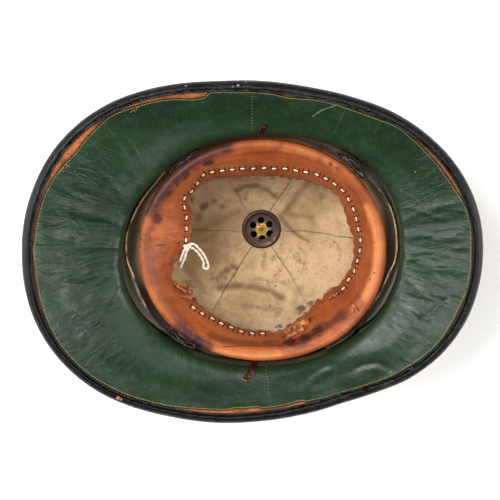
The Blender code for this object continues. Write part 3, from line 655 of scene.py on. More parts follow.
def green_look(scuffs_and_highlight):
    look = Look("dark_green_leather", coat=0.06, specular=0.40)
    look.give("Coat Roughness", 0.3)
    broad = look.noise(20.0, 4.0, 0.6)
    fine = look.noise(170.0, 5.0, 0.65)
    look.tint(look.ranged(broad, 0.3, 0.7), (11, 32, 13), (22, 47, 25))
    look.tint(look.ranged(fine, 0.5, 0.85, 0.0, 0.35), (46, 64, 43))
    look.tint(look.specks(110.0, (0.10, 0.05), (0.90, 0.94)), (170, 176, 140))
    hatches = []
    for turn in (0.70, -0.62, 1.2):
        lines = look.stretch(look.where, 1000.0, 80.0, 80.0, turn)
        hatches.append(look.ranged(look.noise(1.0, 3.0, source=lines), 0.60, 0.76))
    patches = look.ranged(look.noise(26.0, 2.0), 0.48, 0.62)
    hatches = look.sums("MULTIPLY", look.joined("MAXIMUM", hatches), patches)
    look.tint(look.sums("MULTIPLY", hatches, 0.20), (84, 106, 86))
    # Pale rubbed scuffs, and painted highlight along creases
    look.tint(look.strokes(scuffs_and_highlight, 0.3, 260.0), (132, 156, 134))
    look.give("Roughness", look.ranged(fine, 0.3, 0.75, 0.36, 0.54))
    grain = look.sums("ADD", look.sums("MULTIPLY", look.cells(750.0), 0.5),
                      look.sums("MULTIPLY", look.noise(420.0, 4.0), 0.6))
    under = look.bump(grain, 0.00022, 0.7)
    under = look.bump(hatches, 0.0001, 0.5, under)
    sides = look.ranged(look.sums("ABSOLUTE", look.axis("X")), 0.095, 0.135, 0.1, 1.0)
    across = look.stretch(look.uv, 105.0, 30.0)
    wrinkle = look.noise(1.0, 4.0, 0.6, source=across, distortion=0.8)
    wrinkle = look.sums("ABSOLUTE", look.sums("SUBTRACT", wrinkle, 0.5))
    wrinkle = look.ranged(wrinkle, 0.0, 0.10)
    under = look.bump(look.sums("MULTIPLY", wrinkle, sides), 0.0007, 0.35, under)
    under = look.bump(look.noise(44.0, 3.0, 0.55, distortion=0.6), 0.0014, 0.25, under)
    look.bump(look.noise(15.0, 2.0, 0.5, distortion=0.8), 0.0060, 0.35, under)
    return look.material


def strip_look():
    look = Look("bare_tan_strip", sheen=0.2, specular=0.25)
    broad = look.noise(60.0, 4.0, 0.6)
    fine = look.noise(420.0, 4.0, 0.7)
    look.tint(look.ranged(broad, 0.3, 0.7), (112, 58, 26), (186, 108, 58))
    look.tint(look.ranged(fine, 0.46, 0.72, 0.0, 0.75), (70, 40, 22))
    look.give("Roughness", 0.8)
    look.bump(fine, 0.0008, 0.8)
    return look.material


def binding_look(worn, tan):
    look = Look("worn_black_leather", coat=0.03, specular=0.20)
    look.give("Coat Roughness", 0.22)
    along = look.stretch(look.uv, 50.0, 800.0)
    grain = look.noise(1.0, 5.0, 0.7, source=along)
    across = look.noise(1.0, 4.0, 0.7, source=look.stretch(look.uv, 420.0, 90.0))
    look.tint(look.ranged(look.noise(40.0, 3.0), 0.3, 0.7), (5, 5, 6), (14, 13, 14))
    scuff = look.sums("MULTIPLY", look.ranged(grain, 0.58, 0.70),
                      look.ranged(look.noise(120.0, 4.0, 0.7), 0.50, 0.66))
    look.tint(look.sums("MULTIPLY", scuff, 0.5), (92, 88, 86))
    look.tint(look.spots(worn, 0.5), (140, 138, 138))
    look.tint(look.spots(tan, 0.5), (176, 112, 74))
    look.give("Roughness", look.ranged(grain, 0.35, 0.7, 0.22, 0.42))
    under = look.bump(look.noise(520.0, 4.0, 0.6), 0.0005, 0.8)
    under = look.bump(across, 0.0010, 0.45, under)
    look.bump(grain, 0.0010, 0.5, under)
    return look.material


def canvas_look(stains, blots, shades):
    look = Look("stained_khaki_canvas", sheen=0.25, specular=0.2)
    look.give("Sheen Roughness", 0.6)
    broad = look.noise(16.0, 5.0, 0.65)
    fine = look.noise(150.0, 5.0, 0.75)
    look.tint(look.ranged(broad, 0.34, 0.66), (174, 140, 98), (222, 188, 144))
    look.tint(look.ranged(fine, 0.50, 0.76, 0.0, 0.5), (136, 104, 64))
    weave = look.noise(900.0, 2.0, 0.6)
    look.tint(look.ranged(weave, 0.50, 0.66, 0.0, 0.35), (120, 92, 60))
    grime = look.sums("MULTIPLY", look.ranged(look.noise(52.0, 7.0, 0.78), 0.53, 0.66),
                      look.ranged(look.noise(10.0, 2.0), 0.42, 0.60, 0.12, 0.9))
    look.tint(grime, (108, 74, 42))
    speck = look.specks(150.0, (0.22, 0.10), (0.82, 0.90))
    look.tint(look.sums("MULTIPLY", speck, 0.7), (74, 48, 30))
    # Painted shade along the canvas's folds and hollows
    look.tint(look.strokes(shades, 0.25, 60.0), (112, 78, 44))
    look.tint(look.spots(stains, 0.6, 170.0, 0.3), (78, 48, 28))
    look.tint(look.spots(blots, 0.6, 300.0), (62, 70, 78))
    wander = look.node("ShaderNodeTexNoise", "Color", {"Vector": look.where, "Scale": 70.0})
    wander = look.vector("MULTIPLY", wander, (0.0034, 0.0034, 0.0), "Vector")
    place = look.vector("ADD", look.where, wander, "Vector")
    lines = []
    for bearing in GORE_SEAMS:
        cos, sin = math.cos(math.radians(bearing)), math.sin(math.radians(bearing))
        ahead = look.vector("DOT_PRODUCT", place, (cos, sin, 0.0))
        aside = look.vector("DOT_PRODUCT", place, (-sin, cos, 0.0))
        middle = look.sums("SUBTRACT", aside, 0.0017)
        line = look.ranged(look.sums("ABSOLUTE", middle), 0.00065, 0.00010)
        lines.append(look.sums("MULTIPLY", line, look.ranged(ahead, 0.010, 0.016)))
    lines = look.joined("MAXIMUM", lines)
    uneven = look.ranged(look.noise(45.0, 3.0), 0.35, 0.65, 0.25, 0.75)
    look.tint(look.sums("MULTIPLY", lines, uneven), (104, 74, 46))
    # Painted shade: the canvas wall low behind the sweatband is darkened where the band's shadow
    # falls
    height = look.axis("Z")
    deep = look.sums("MULTIPLY", look.ranged(height, 0.062, 0.080, 0.0, 0.94),
                     look.ranged(height, 0.1176, 0.1166))
    look.tint(deep, (48, 28, 15))
    look.give("Roughness", 0.9)
    threads = look.sums("ADD", look.weave(260.0, 1.5, "X"), look.weave(260.0, 1.5, "Y"))
    under = look.bump(threads, 0.0003, 0.6)
    under = look.bump(lines, 0.0008, 0.8, under)
    under = look.bump(look.noise(60.0, 5.0, 0.65, distortion=0.4), 0.0024, 0.6, under)
    look.bump(look.noise(24.0, 3.0, 0.55, distortion=0.9), 0.0060, 0.6, under)
    return look.material


def tan_look(stains, shades, holes, pale, seam):
    look = Look("tan_band_leather", coat=0.04, specular=0.3)
    look.give("Coat Roughness", 0.35)
    broad = look.noise(17.0, 4.0, 0.65)
    fine = look.noise(140.0, 5.0, 0.68)
    look.tint(look.ranged(broad, 0.3, 0.7), (124, 56, 24), (172, 92, 44))
    look.tint(look.ranged(fine, 0.5, 0.80, 0.0, 0.5), (116, 52, 26))
    streak = look.noise(1.0, 4.0, 0.7, source=look.stretch(look.uv, 40.0, 420.0))
    look.tint(look.ranged(streak, 0.54, 0.74, 0.0, 0.4), (120, 54, 30))
    # Painted highlight along the band's rolled rim and right side
    look.tint(look.strokes(pale, 0.2, 50.0), (202, 124, 66))
    # Stains, and painted shade along the band's folds
    look.tint(look.strokes(shades, 0.35, 80.0, 0.2), (68, 31, 25))
    look.tint(look.spots(stains, 0.55, 150.0, 0.35), (52, 22, 20))
    wear = look.ranged(look.noise(70.0, 5.0, 0.7), 0.55, 0.7, 0.0, 0.45)
    look.tint(wear, (128, 62, 38))
    look.tint(look.strokes(seam, 0.15, 300.0, 0.5), (66, 28, 16))
    # Painted shade: the holes as near-black spots
    look.tint(look.spots(holes, 0.15), (6, 4, 3))
    look.give("Roughness", look.ranged(fine, 0.3, 0.75, 0.42, 0.62))
    under = look.bump(look.sums("ADD", look.cells(900.0), look.noise(500.0, 4.0)), 0.0002, 0.6)
    look.bump(look.noise(60.0, 4.0, 0.6, distortion=0.5), 0.0014, 0.5, under)
    return look.material


def brown_look():
    look = Look("dark_brown_leather", coat=0.1)
    fine = look.noise(220.0, 5.0, 0.65)
    look.tint(look.ranged(fine, 0.35, 0.75), (20, 12, 9), (62, 39, 29))
    look.give("Roughness", look.ranged(fine, 0.3, 0.7, 0.4, 0.6))
    look.bump(fine, 0.0004, 0.6)
    return look.material


def drill_builder(name):
    look = Look(name, sheen=0.3, specular=0.2)
    broad = look.noise(12.0, 3.0)
    fine = look.noise(90.0, 5.0, 0.7)
    look.tint(look.ranged(broad, 0.3, 0.7), (168, 150, 112), (188, 170, 130))
    look.tint(look.ranged(fine, 0.5, 0.85, 0.0, 0.4), (142, 122, 88))
    look.give("Roughness", 0.9)
    under = look.bump(look.weave(210.0, 0.6, "DIAGONAL"), 0.0003, 0.6)
    look.bump(look.noise(40.0, 3.0), 0.001, 0.3, under)
    return look


def thread_look(name, dark, pale):
    look = Look(name, sheen=0.3, specular=0.2)
    look.tint(look.noise(300.0, 3.0), dark, pale)
    look.give("Roughness", 0.85)
    look.bump(look.noise(1500.0, 2.0), 0.0003, 0.6)
    return look.material


def metal_look(name, dark, bright, shine_at=None):
    look = Look(name, metallic=0.9, specular=0.5)
    fine = look.noise(260.0, 5.0, 0.7)
    part = look.ranged(fine, 0.38, 0.7)
    if shine_at is not None:
        centre, radius = shine_at
        uneven = look.sums("MULTIPLY", look.sums("SUBTRACT", fine, 0.5), 0.012)
        away = look.sums("ADD", look.vector("DISTANCE", look.where, centre), uneven)
        part = look.ranged(away, radius, radius * 0.4)
    look.tint(part, dark, bright)
    look.give("Roughness", look.ranged(fine, 0.3, 0.75, 0.32, 0.6))
    look.bump(fine, 0.0003, 0.5)
    return look.material


def add_camera():
    data = bpy.data.cameras.new("photo_camera")
    data.lens = LENS
    data.sensor_width = SENSOR
    camera = placed("photo_camera", data)
    camera.location = CAMERA_AT
    camera.rotation_euler = Euler((-CAMERA_TILT, 0.0, 0.0))
    bpy.context.scene.camera = camera


# Name, place, height of the aim on the upright axis, side in metres and power
LIGHTS = (("overhead", (0.1, 0.1, 2.1), 0.10, 1.9, 20.0),
          ("key", (-0.70, 0.62, 2.00), 0.10, 0.80, 40.0),
          ("left", (-2.0, 0.05, 1.0), 0.12, 1.2, 35.0),
          ("right", (2.0, 0.0, 0.95), 0.12, 1.3, 40.0))


def add_studio():
    bpy.context.scene.view_settings.view_transform = "Standard"
    world = bpy.data.worlds.new("studio")
    bpy.context.scene.world = world
    world.use_nodes = True
    backdrop = world.node_tree.nodes["Background"]
    backdrop.inputs["Color"].default_value = (1.0, 1.0, 1.0, 1.0)
    backdrop.inputs["Strength"].default_value = 0.15
    for name, place, aim, side, power in LIGHTS:
        data = bpy.data.lights.new(name, "AREA")
        data.size = side
        data.energy = power
        light = placed(name, data)
        light.location = place
        way = Vector((0.0, 0.0, aim)) - Vector(place)
        light.rotation_euler = way.to_track_quat("-Z", "Y").to_euler()
    mesh = bpy.data.meshes.new("floor")
    side = 6.0
    mesh.from_pydata([(-side, -side, 0), (side, -side, 0), (side, side, 0), (-side, side, 0)],
                     [], [(0, 1, 2, 3)])
    look = Look("pale_floor", specular=0.2)
    look.tint(look.noise(3.0), (246, 246, 247), (250, 250, 250))
    look.give("Roughness", 0.8)
    mesh.materials.append(look.material)
    placed("floor", mesh)


def levels(low, high, count):
    """Rows of runs from one array of runs to another."""
    return low + (high - low) * np.linspace(0, 1, count)[:, None]


def arc_uv(turn, run, scale=0.13):
    """Places in the cloth: the turn times a mean reach, and the run."""
    return np.stack([np.broadcast_to(turn * scale, run.shape), run], -1)


def make_shell(walls, look):
    """The pith with its drill cover, whose gore seams are raised."""
    run = levels(np.zeros(AROUND), walls.run_rim, 70)
    inner = walls.place(run[::3], 0.0)[0]
    outer, outward = walls.place(run, -PITH_WALL)
    seam = np.zeros(AROUND)
    for place in GORE_SEAMS:
        away = np.abs(apart(walls.bearing, place)) * np.pi / 180 * 0.09
        seam = np.maximum(seam, hump(away, 0, 0.0022))
    fade = soft(0.0, 0.03, run) * (1 - soft(0.0, 0.004, run - walls.run_mouth))
    outer = outer - outward * (seam * fade * 0.0006)[..., None]
    section = np.concatenate([inner, outer[::-1]])
    uv = np.concatenate([arc_uv(walls.turn, run[::3]), arc_uv(walls.turn, run[::-1])])
    piece = ring_mesh("shell_cover", section, look, uv)
    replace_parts(piece, "helmet_shell")


def lining_edge(walls):
    """Run of the green lining's outer edge, by the photo's pixels."""
    lift = GAP + RIM_STRIP + GAP + GREEN_LEATHER
    skin = Skin(*walls.place(levels(walls.run_turn, walls.run_rim, 40), lift))
    spots = np.array([spot for spot in map(skin.find, LINING_EDGE) if spot is not None])
    bearing = np.degrees(np.arctan2(spots[:, 1], spots[:, 0])) % 360
    there = Walls(bearing)
    run = levels(there.run_rim - 0.05, there.run_rim, 400)
    away = np.linalg.norm(there.place(run, lift)[0] - spots, axis=-1)
    inset = there.run_rim - run[away.argmin(0), np.arange(len(spots))]
    inset = eased(tuple(zip(bearing, inset)), walls.bearing)
    inset = inset + ring_noise(walls.turn, 30, 3.0) * 0.0003
    return walls.run_rim - np.maximum(inset, BINDING_TOP - 0.0006)


def lining_lift(walls, run):
    """Lift of the lining's underside: over the rim strip, and puffed at the mouth's turn."""
    over = walls.run_rim - RIM_STRIP_WIDTH
    ramp = LINING_RAMP * 4
    puff = eased(TURN_PUFF, walls.bearing) / 1000
    turned = soft(0.0, 1.0, (run - walls.run_mouth + 0.012) / 0.008)
    turned = turned * (1 - soft(0.0, 1.0, (run - walls.run_turn) / 0.022))
    return GAP + (RIM_STRIP + GAP) * soft(0.0, 1.0, (run - over + ramp) / ramp) + puff * turned


# Pixels of the photo along the green lining's outer edge, from the binding's joint clockwise
LINING_EDGE = (
    (252, 91.5), (273, 93.4), (286, 96.5), (299, 98.0), (318, 99.5), (343, 106.0), (354, 110.0),
    (368, 115.0), (382, 120.0), (399, 127.0), (410, 136.0), (424, 149.0), (435, 161.0),
    (446, 175.0), (454, 187.0), (462, 199.0), (468, 212.0), (471, 226.0), (472, 247.0),
    (471, 270.0), (467, 292.0), (460, 307.0), (446, 333.0), (435, 347.0), (421, 359.0),
    (407, 368.0), (392, 376.5), (374, 383.5), (357, 389.0), (340, 394.0), (326, 398.0),
    (307, 402.0), (300, 401.5), (288, 405.0), (264, 409.0), (258, 408.0), (246, 408.5),
    (236, 409.0), (228, 410.5), (220, 410.5), (195, 409.5), (168, 406.5), (146, 401.5),
    (126, 395.3), (112, 388.8), (96, 380.0), (80, 368.8), (68, 356.5), (57, 341.5),
    (49, 326.0), (42.5, 309.5), (37.5, 290.0), (34.2, 268.0), (32.5, 248.0), (34, 240.0),
    (36.0, 225.5), (39.5, 210.0), (44.2, 195.0), (51.2, 181.0), (59.0, 170.0), (67.8, 160.0),
    (74.0, 154.0), (81.5, 143.8), (93.0, 131.3), (103.0, 121.5), (109.5, 116.0), (126, 109.0),
    (137, 105.5), (154, 101.2), (170, 98.8), (193, 98.8), (204, 96.8), (211, 91.0), (218, 90.6),
    (236, 91.5),
)

# Bearings, and how far the lining's fold stands off the crown's mouth, in mm
TURN_PUFF = ((0, 1.0), (25, 1.2), (50, 0.6), (80, 0.4), (105, 1.4), (122, 2.3), (138, 2.8),
             (152, 2.4), (168, 1.6), (190, 1.2), (215, 1.2), (240, 0.6), (290, 0.6), (315, 1.0),
             (335, 1.6))
# Pixels of the photo, height in mm, half width in mm, skew
LINING_CREASES = (
    (((122, 246), (100, 246), (78, 248), (58, 252)), 1.4, 3.2, 0.5),
    (((121, 254), (104, 259), (86, 263), (66, 262)), -1.0, 2.4, 0.4),
    (((120, 262), (106, 268), (92, 276), (76, 284)), 1.3, 3.4, -0.5),
    (((121, 270), (110, 280), (98, 290), (88, 300)), -1.0, 2.6, 0.4),
    (((123, 280), (112, 296), (104, 306)), 1.1, 3.2, 0.5),
    (((122, 238), (104, 233), (84, 230), (60, 228)), -0.9, 2.8, 0.3),
    (((124, 228), (110, 218), (92, 214), (66, 206)), 1.2, 3.6, 0.5),
    (((127, 216), (112, 204), (92, 196), (72, 192)), -0.8, 2.8, 0.4),
    (((129, 208), (120, 192), (112, 182), (100, 172)), 1.2, 3.0, 0.5),
    (((142, 190), (134, 176), (126, 160), (118, 140)), 0.9, 3.6, 0.4),
    (((405, 238), (420, 236), (440, 240), (462, 240)), 1.2, 3.2, 0.5),
    (((405, 243), (420, 250), (444, 252), (468, 256)), -1.0, 2.4, 0.4),
    (((404, 252), (420, 262), (440, 268), (462, 272)), 1.2, 3.4, -0.5),
    (((402, 268), (416, 276), (434, 286), (452, 298)), -1.1, 2.4, 0.4),
    (((400, 274), (414, 288), (430, 298), (446, 306)), 1.1, 3.2, 0.5),
    (((404, 230), (420, 226), (440, 224), (466, 222)), -0.9, 2.6, 0.4),
    (((403, 222), (420, 214), (440, 208), (462, 204)), 1.1, 3.4, 0.4),
    (((392, 300), (408, 312), (424, 326)), 0.9, 3.2, 0.4),
    (((352, 372), (362, 366), (376, 364), (390, 370)), 1.1, 3.0, 0.6),
    (((306, 390), (312, 382), (322, 374), (334, 370)), -1.2, 3.2, 0.4),
    (((345, 110), (338, 122), (332, 138)), 0.5, 1.6, 0.0),
    (((70, 320), (92, 326), (112, 332)), 0.8, 3.4, 0.4),
    (((150, 372), (168, 362), (184, 356)), 0.6, 3.0, 0.3),
    (((42, 236), (62, 240), (84, 243), (110, 247)), 0.8, 2.0, 0.3),
    (((60, 282), (80, 272), (104, 262)), 0.8, 2.0, -0.3),
    (((404, 262), (424, 256), (450, 262)), 0.8, 2.0, 0.3),
    (((408, 206), (428, 214), (452, 226)), 0.8, 2.0, 0.3),
    (((128, 138), (134, 152), (144, 168)), 0.7, 2.0, 0.3),
    (((424, 318), (440, 306), (456, 292)), 0.8, 2.0, 0.3),
)
# Pale lines on the lining, partly rubbed scuffs and partly painted highlight along its creases:
# pixels, the radius in mm and the strength
LINING_SCUFFS_AND_HIGHLIGHT = (
    (((313, 116), (322, 110), (337, 105)), 1.0, 0.40),
    (((345, 111), (340, 120), (334, 134)), 0.6, 0.14),
    (((400, 190), (412, 196), (424, 206)), 0.7, 0.14),
    (((395, 205), (410, 207), (428, 203)), 0.7, 0.14),
)


def make_lining(walls, make_look):
    """The green leather, creased along lines that follow the photo."""
    inner = walls.run_at_depth(np.maximum(TURN_IN, canvas_edge_depth(walls) + 0.005))
    edge = lining_edge(walls)
    split = walls.run_turn + 0.002
    run = np.concatenate([levels(inner, split, 16)[:-1], levels(split, edge, 44)])
    points, normals = walls.place(run, lining_lift(walls, run) + GREEN_LEATHER)
    skin = Skin(points, normals)
    for pixels, height, width, skew in LINING_CREASES:
        skin.crease(pixels, height / 1000, width / 1000, skew)
    out = run - walls.run_turn
    sides = np.maximum(hump(walls.bearing, 183, 34), hump(apart(walls.bearing, 0), -6, 30))
    uv = arc_uv(walls.turn, run)
    grid = np.concatenate([uv, np.zeros(run.shape + (1,))], -1)
    folds = 0.30 - np.sqrt(np.abs(drift(grid, (110.0, 20.0, 1.0), 2.0)))
    rest = drift(points, (28.0, 28.0, 28.0), 5.0)
    brim = soft(-0.002, 0.006, out) * (1 - soft(-0.006, -0.001, run - edge))
    skin.lift += brim * (folds * 0.0012 * sides + rest * 0.0009)
    skin.lift *= np.where(out > -0.004, 1.0, 0.0)
    deepest = 0.0009
    sunk = skin.lift < 0
    skin.lift = np.where(sunk, -deepest * (1 - np.exp(skin.lift / deepest)), skin.lift)
    top = skin.raised()
    bare = walls.place(run, lining_lift(walls, run))[0]
    bottom = np.where(sunk[..., None], top - normals * GREEN_LEATHER, bare)
    found = Skin(top, normals)
    look = make_look(lines_found(found, LINING_SCUFFS_AND_HIGHLIGHT))
    piece = ring_mesh("brim_lining_leather", np.concatenate([top, bottom[::-1]]), look,
                      both_faces(uv))
    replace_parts(piece, "brim_lining")
    return found, edge


def make_strip(walls, look):
    """The tan leather along the rim, a little uneven."""
    run = levels(walls.run_rim - RIM_STRIP_WIDTH, walls.run_rim, 10)
    points, normals = walls.place(run, GAP + RIM_STRIP)
    uneven = drift(points, (90.0, 90.0, 90.0), 9.0) * 0.0002
    section = sheet_section(points + normals * uneven[..., None], normals, RIM_STRIP)
    piece = ring_mesh("rim_strip_leather", section, look,
                      both_faces(arc_uv(walls.turn, run)))
    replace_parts(piece, "rim_strip")


# Pixel of the photo where the binding's ends overlap
BINDING_JOINT = (246, 80)
# Stitches around the binding's groove
BINDING_STITCHES = 330
# Pixels of the photo with the radius of a grey or tan scuff in mm and its strength
BINDING_WORN = ((238, 85.5, 1.6, 0.9), (233, 86.5, 1.0, 0.6), (330, 93, 1.2, 0.4),
                (186, 86, 1.2, 0.4))
BINDING_TAN = ((118, 398, 1.8, 0.9), (121, 399.5, 1.4, 0.7), (246, 78.5, 0.8, 0.7),
               (245.6, 82, 0.7, 0.6))


def make_binding(walls, make_look, thread):
    """The folded strip: its section is rounded, with a groove along the top between ridges."""
    over = GAP + RIM_STRIP + GAP
    under = -PITH_WALL - GAP
    leather, ridge, width = BINDING_LEATHER, BINDING_RIDGE, BINDING_TOP
    top, low, side = over + leather, under - leather, GAP + leather
    shape = (
        (-width, over), (-width - 0.0001, over + leather * 0.45),
        (-width * 0.96, over + leather * 0.95), (-width * 0.80, top + ridge),
        (-width * 0.60, top + ridge * 0.8), (-width * 0.44, top - ridge * 0.6),
        (-width * 0.30, top + ridge * 0.1), (-width * 0.14, top + ridge * 0.9),
        (0.0, top + ridge * 0.7), (GAP + leather * 0.55, over + leather * 0.75),
        (GAP + leather * 0.95, over + leather * 0.1),
        (side + ridge * 0.7, (over * 3 + under) / 4), (side + ridge, (over + under) / 2),
        (side + ridge * 0.7, (over + under * 3) / 4),
        (GAP + leather * 0.9, under + leather * 0.1),
        (GAP + leather * 0.4, under - leather * 0.7), (GAP, low),
        (-BINDING_UNDER * 0.5, low), (-BINDING_UNDER, low), (-BINDING_UNDER, under),
        (-BINDING_UNDER * 0.5, under), (GAP * 0.5, under), (GAP * 0.5, over),
        (-width * 0.5, over),
    )
    outside = range(3, 13)
    rim, up = walls.points[-1], walls.normals[-1]
    out = np.stack([up[:, 1], -up[:, 0]], -1)
    past_joint = (bearing_at(BINDING_JOINT, MOUTH_Z + RISE_SIDE) - walls.bearing) % 360
    lap = 0.0006 * (past_joint < 8) * (1 - soft(3.0, 8.0, past_joint))
    lumps = hump(walls.bearing, 318, 26)
    rows, uv = [], []
    for k, (along, height) in enumerate(shape):
        wear = np.zeros(AROUND)
        if k in outside:
            place = polar(30, k * 0.55, walls.turn)
            wear = drift(place, (1.0, 1.0, 1.0), 4.0) * (0.00028 + 0.0004 * lumps) + lap
        flat = rim + out * along + up * (height + wear)[:, None] + out * (wear * 0.5)[:, None]
        rows.append(polar(flat[:, 0], flat[:, 1], walls.turn))
        uv.append(arc_uv(walls.turn, np.full(AROUND, k * 0.0011), 0.16))
    outer = np.array(rows[outside.start:outside.stop])
    found = Skin(outer, np.zeros(outer.shape))
    look = make_look(blots_found(found, BINDING_WORN), blots_found(found, BINDING_TAN))
    piece = ring_mesh("edge_binding_leather", np.array(rows), look,
                      np.array(uv))
    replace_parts(piece, "edge_binding")
    fine = Walls(np.arange(BINDING_STITCHES) * 360.0 / BINDING_STITCHES)
    rim, up = fine.points[-1], fine.normals[-1]
    flat = rim - np.stack([up[:, 1], -up[:, 0]], -1) * width * 0.68 + up * (top + ridge)
    spots = [Vector(spot) for spot in polar(flat[:, 0], flat[:, 1], fine.turn)]
    bm = bmesh.new()
    for index, spot in enumerate(spots):
        along = spots[(index + 1) % len(spots)] - spot
        face = Vector((-spot.x, -spot.y, spot.length)).normalized()
        add_stitch(bm, spot, along.normalized(), face, along.length * 0.30, 0.00035, 0.0003)
    mesh_piece("binding_stitches", bm, thread)


def canvas_edge_depth(walls):
    """Depth of the canvas's raw edge, which wanders and is hidden low at the sides."""
    wave = ring_noise(walls.turn, 9, 1.0) * 0.0016 + ring_noise(walls.turn, 45, 7.0) * 0.0005
    return eased(CANVAS_EDGE, walls.bearing) / 1000 + wave


# Bearings and depths under the mouth, in mm
CANVAS_EDGE = ((0, 8.0), (20, 8.5), (32, 9.5), (42, 15.0), (60, 19.0), (120, 18.0),
               (134, 13.0), (144, 8.5), (185, 8.0), (208, 9.0), (218, 13.0), (230, 18.0),
               (300, 19.0), (318, 15.0), (328, 9.5), (345, 8.0))
# Pixels of the photo, height and half width in the parts of a metre named below, skew
CREASE_HEIGHTS, CREASE_WIDTHS = 360, 1150
CANVAS_CREASES = (
    (((245, 196), (252, 189), (262, 187), (272, 190), (278, 198)), 1.6, 4.0, 0.3),
    (((238, 204), (246, 194), (258, 182), (274, 183)), -1.0, 3.4, 0.3),
    (((240, 288), (256, 283), (278, 286), (298, 296)), 1.6, 4.2, 0.4),
    (((236, 280), (254, 276), (276, 277)), -1.0, 3.6, 0.3),
    (((280, 220), (292, 230), (303, 240)), 1.4, 2.6, 0.4),
    (((196, 214), (210, 219), (226, 217)), -1.2, 3.0, 0.3),
    (((284, 204), (296, 212), (312, 214)), -1.2, 3.4, 0.3),
    (((250, 199), (262, 195), (274, 200)), 0.9, 2.2, 0.2),
    (((282, 212), (290, 204), (294, 194)), 1.1, 2.6, 0.4),
    (((286, 236), (300, 252), (306, 268)), 0.9, 3.4, 0.4),
    (((238, 218), (224, 214), (208, 208)), 1.0, 2.6, 0.4),
    (((240, 240), (226, 250), (216, 264)), 0.8, 3.0, 0.4),
    (((262, 252), (262, 266), (258, 280)), 0.8, 3.0, 0.4),
    (((310, 262), (322, 274), (330, 284)), 0.7, 3.0, 0.4),
    (((198, 262), (214, 268), (232, 262)), 0.9, 3.4, 0.4),
    (((318, 196), (326, 212), (330, 226)), 0.9, 3.4, 0.4),
)

# Pixels of the photo with the radius of a stain in mm and its strength
CANVAS_STAINS = (
    (302, 309, 6.0, 0.85), (310, 304, 4.0, 0.7), (204, 206, 5.5, 0.7), (192, 200, 5.0, 0.6),
    (214, 202, 4.0, 0.5), (222, 207, 3.0, 0.45), (236, 284, 6.0, 0.3), (322, 196, 4.0, 0.35),
    (280, 258, 2.5, 0.35), (262, 262, 2.0, 0.3), (300, 262, 3.0, 0.25), (182, 262, 6.0, 0.4),
    (190, 284, 5.0, 0.4), (272, 178, 4.0, 0.4), (334, 242, 1.8, 0.6), (276, 316, 5.0, 0.35),
    (228, 272, 3.0, 0.3), (198, 218, 6.0, 0.45), (262, 266, 2.4, 0.4), (247, 193, 3.0, 0.4),
)
CANVAS_BLOTS = ((280, 326, 3.2, 0.85), (276, 327, 2.0, 0.7))
# Painted shade: soft dark lines in the canvas's hollows and along its folds: pixels, the radius in
# mm and the strength
CANVAS_PAINTED_SHADE = (
    (((238, 190), (246, 186), (256, 186), (267, 190), (276, 198)), 4.6, 0.80),
    (((232, 177), (246, 180), (260, 179)), 4.4, 0.40),
    (((219, 288), (236, 286), (254, 287), (270, 291), (282, 298)), 5.0, 0.75),
    (((280, 217), (288, 227), (297, 235), (308, 241)), 3.0, 0.65),
    (((190, 234), (203, 229), (214, 223), (226, 217), (238, 212)), 7.0, 0.45),
    (((188, 244), (200, 241), (214, 236)), 6.0, 0.30),
    (((287, 210), (294, 200), (300, 192), (308, 182)), 5.4, 0.55),
    (((284, 212), (297, 216), (312, 217)), 4.0, 0.45),
    (((234, 260), (224, 274), (212, 290)), 5.6, 0.30),
    (((246, 306), (262, 309), (280, 310)), 5.0, 0.40),
    (((184, 266), (194, 276), (204, 290)), 6.5, 0.35),
    (((204, 182), (222, 176), (238, 172)), 5.0, 0.40),
    (((300, 288), (294, 304), (304, 312)), 5.5, 0.30),
)


def make_canvas(walls, make_look):
    """The canvas lining, which hangs loose at places and is welted along its gore seams."""
    edge = walls.run_at_depth(canvas_edge_depth(walls))
    loose_from = walls.run_at_depth(CANVAS_LOOSE_DEPTH)
    start = np.full(AROUND, 0.0008)
    run = np.concatenate([levels(start, loose_from, 54)[:-1], levels(loose_from, edge, 16)])
    loose = CANVAS_STANDOFF * np.clip(eased(CANVAS_LOOSENESS, walls.bearing), 0, 1)
    over = GAP + GREEN_LEATHER + GAP
    part = np.clip((run - loose_from) / (edge - loose_from), 0, 1)
    lift = GAP + (over - GAP) * soft(0, 0.25, part) + loose * part**1.2
    bare, normals = walls.place(run, lift + CANVAS)
    skin = Skin(bare, normals)
    for pixels, height, width, skew in CANVAS_CREASES:
        skin.crease(pixels, height / CREASE_HEIGHTS, width / CREASE_WIDTHS, skew)
    inside = soft(0.004, 0.016, run) * (1 - part)
    skin.lift = np.maximum(skin.lift, -0.0001)
    hang = drift(bare, (17.0, 17.0, 17.0), 3.0)
    skin.lift += np.maximum(hang + 0.25, 0.0) * 0.0030 * inside
    for place in GORE_SEAMS:
        away = np.abs(apart(walls.bearing, place)) * np.pi / 180
        away = away * np.linalg.norm(bare[..., :2], axis=-1)
        welt = hump(away, 0, 0.0011) * 0.0007 - hump(away, 0.0022, 0.0008) * 0.0003
        skin.lift += welt * inside
    top = skin.raised()
    section = sheet_section(top, normals, CANVAS)
    found = Skin(top, normals)
    look = make_look(blots_found(found, CANVAS_STAINS), blots_found(found, CANVAS_BLOTS),
                     lines_found(found, CANVAS_PAINTED_SHADE))
    piece = ring_mesh("crown_lining_canvas", section, look,
                      both_faces(arc_uv(walls.turn, run, 0.08)))
    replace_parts(piece, "crown_lining")
    return found


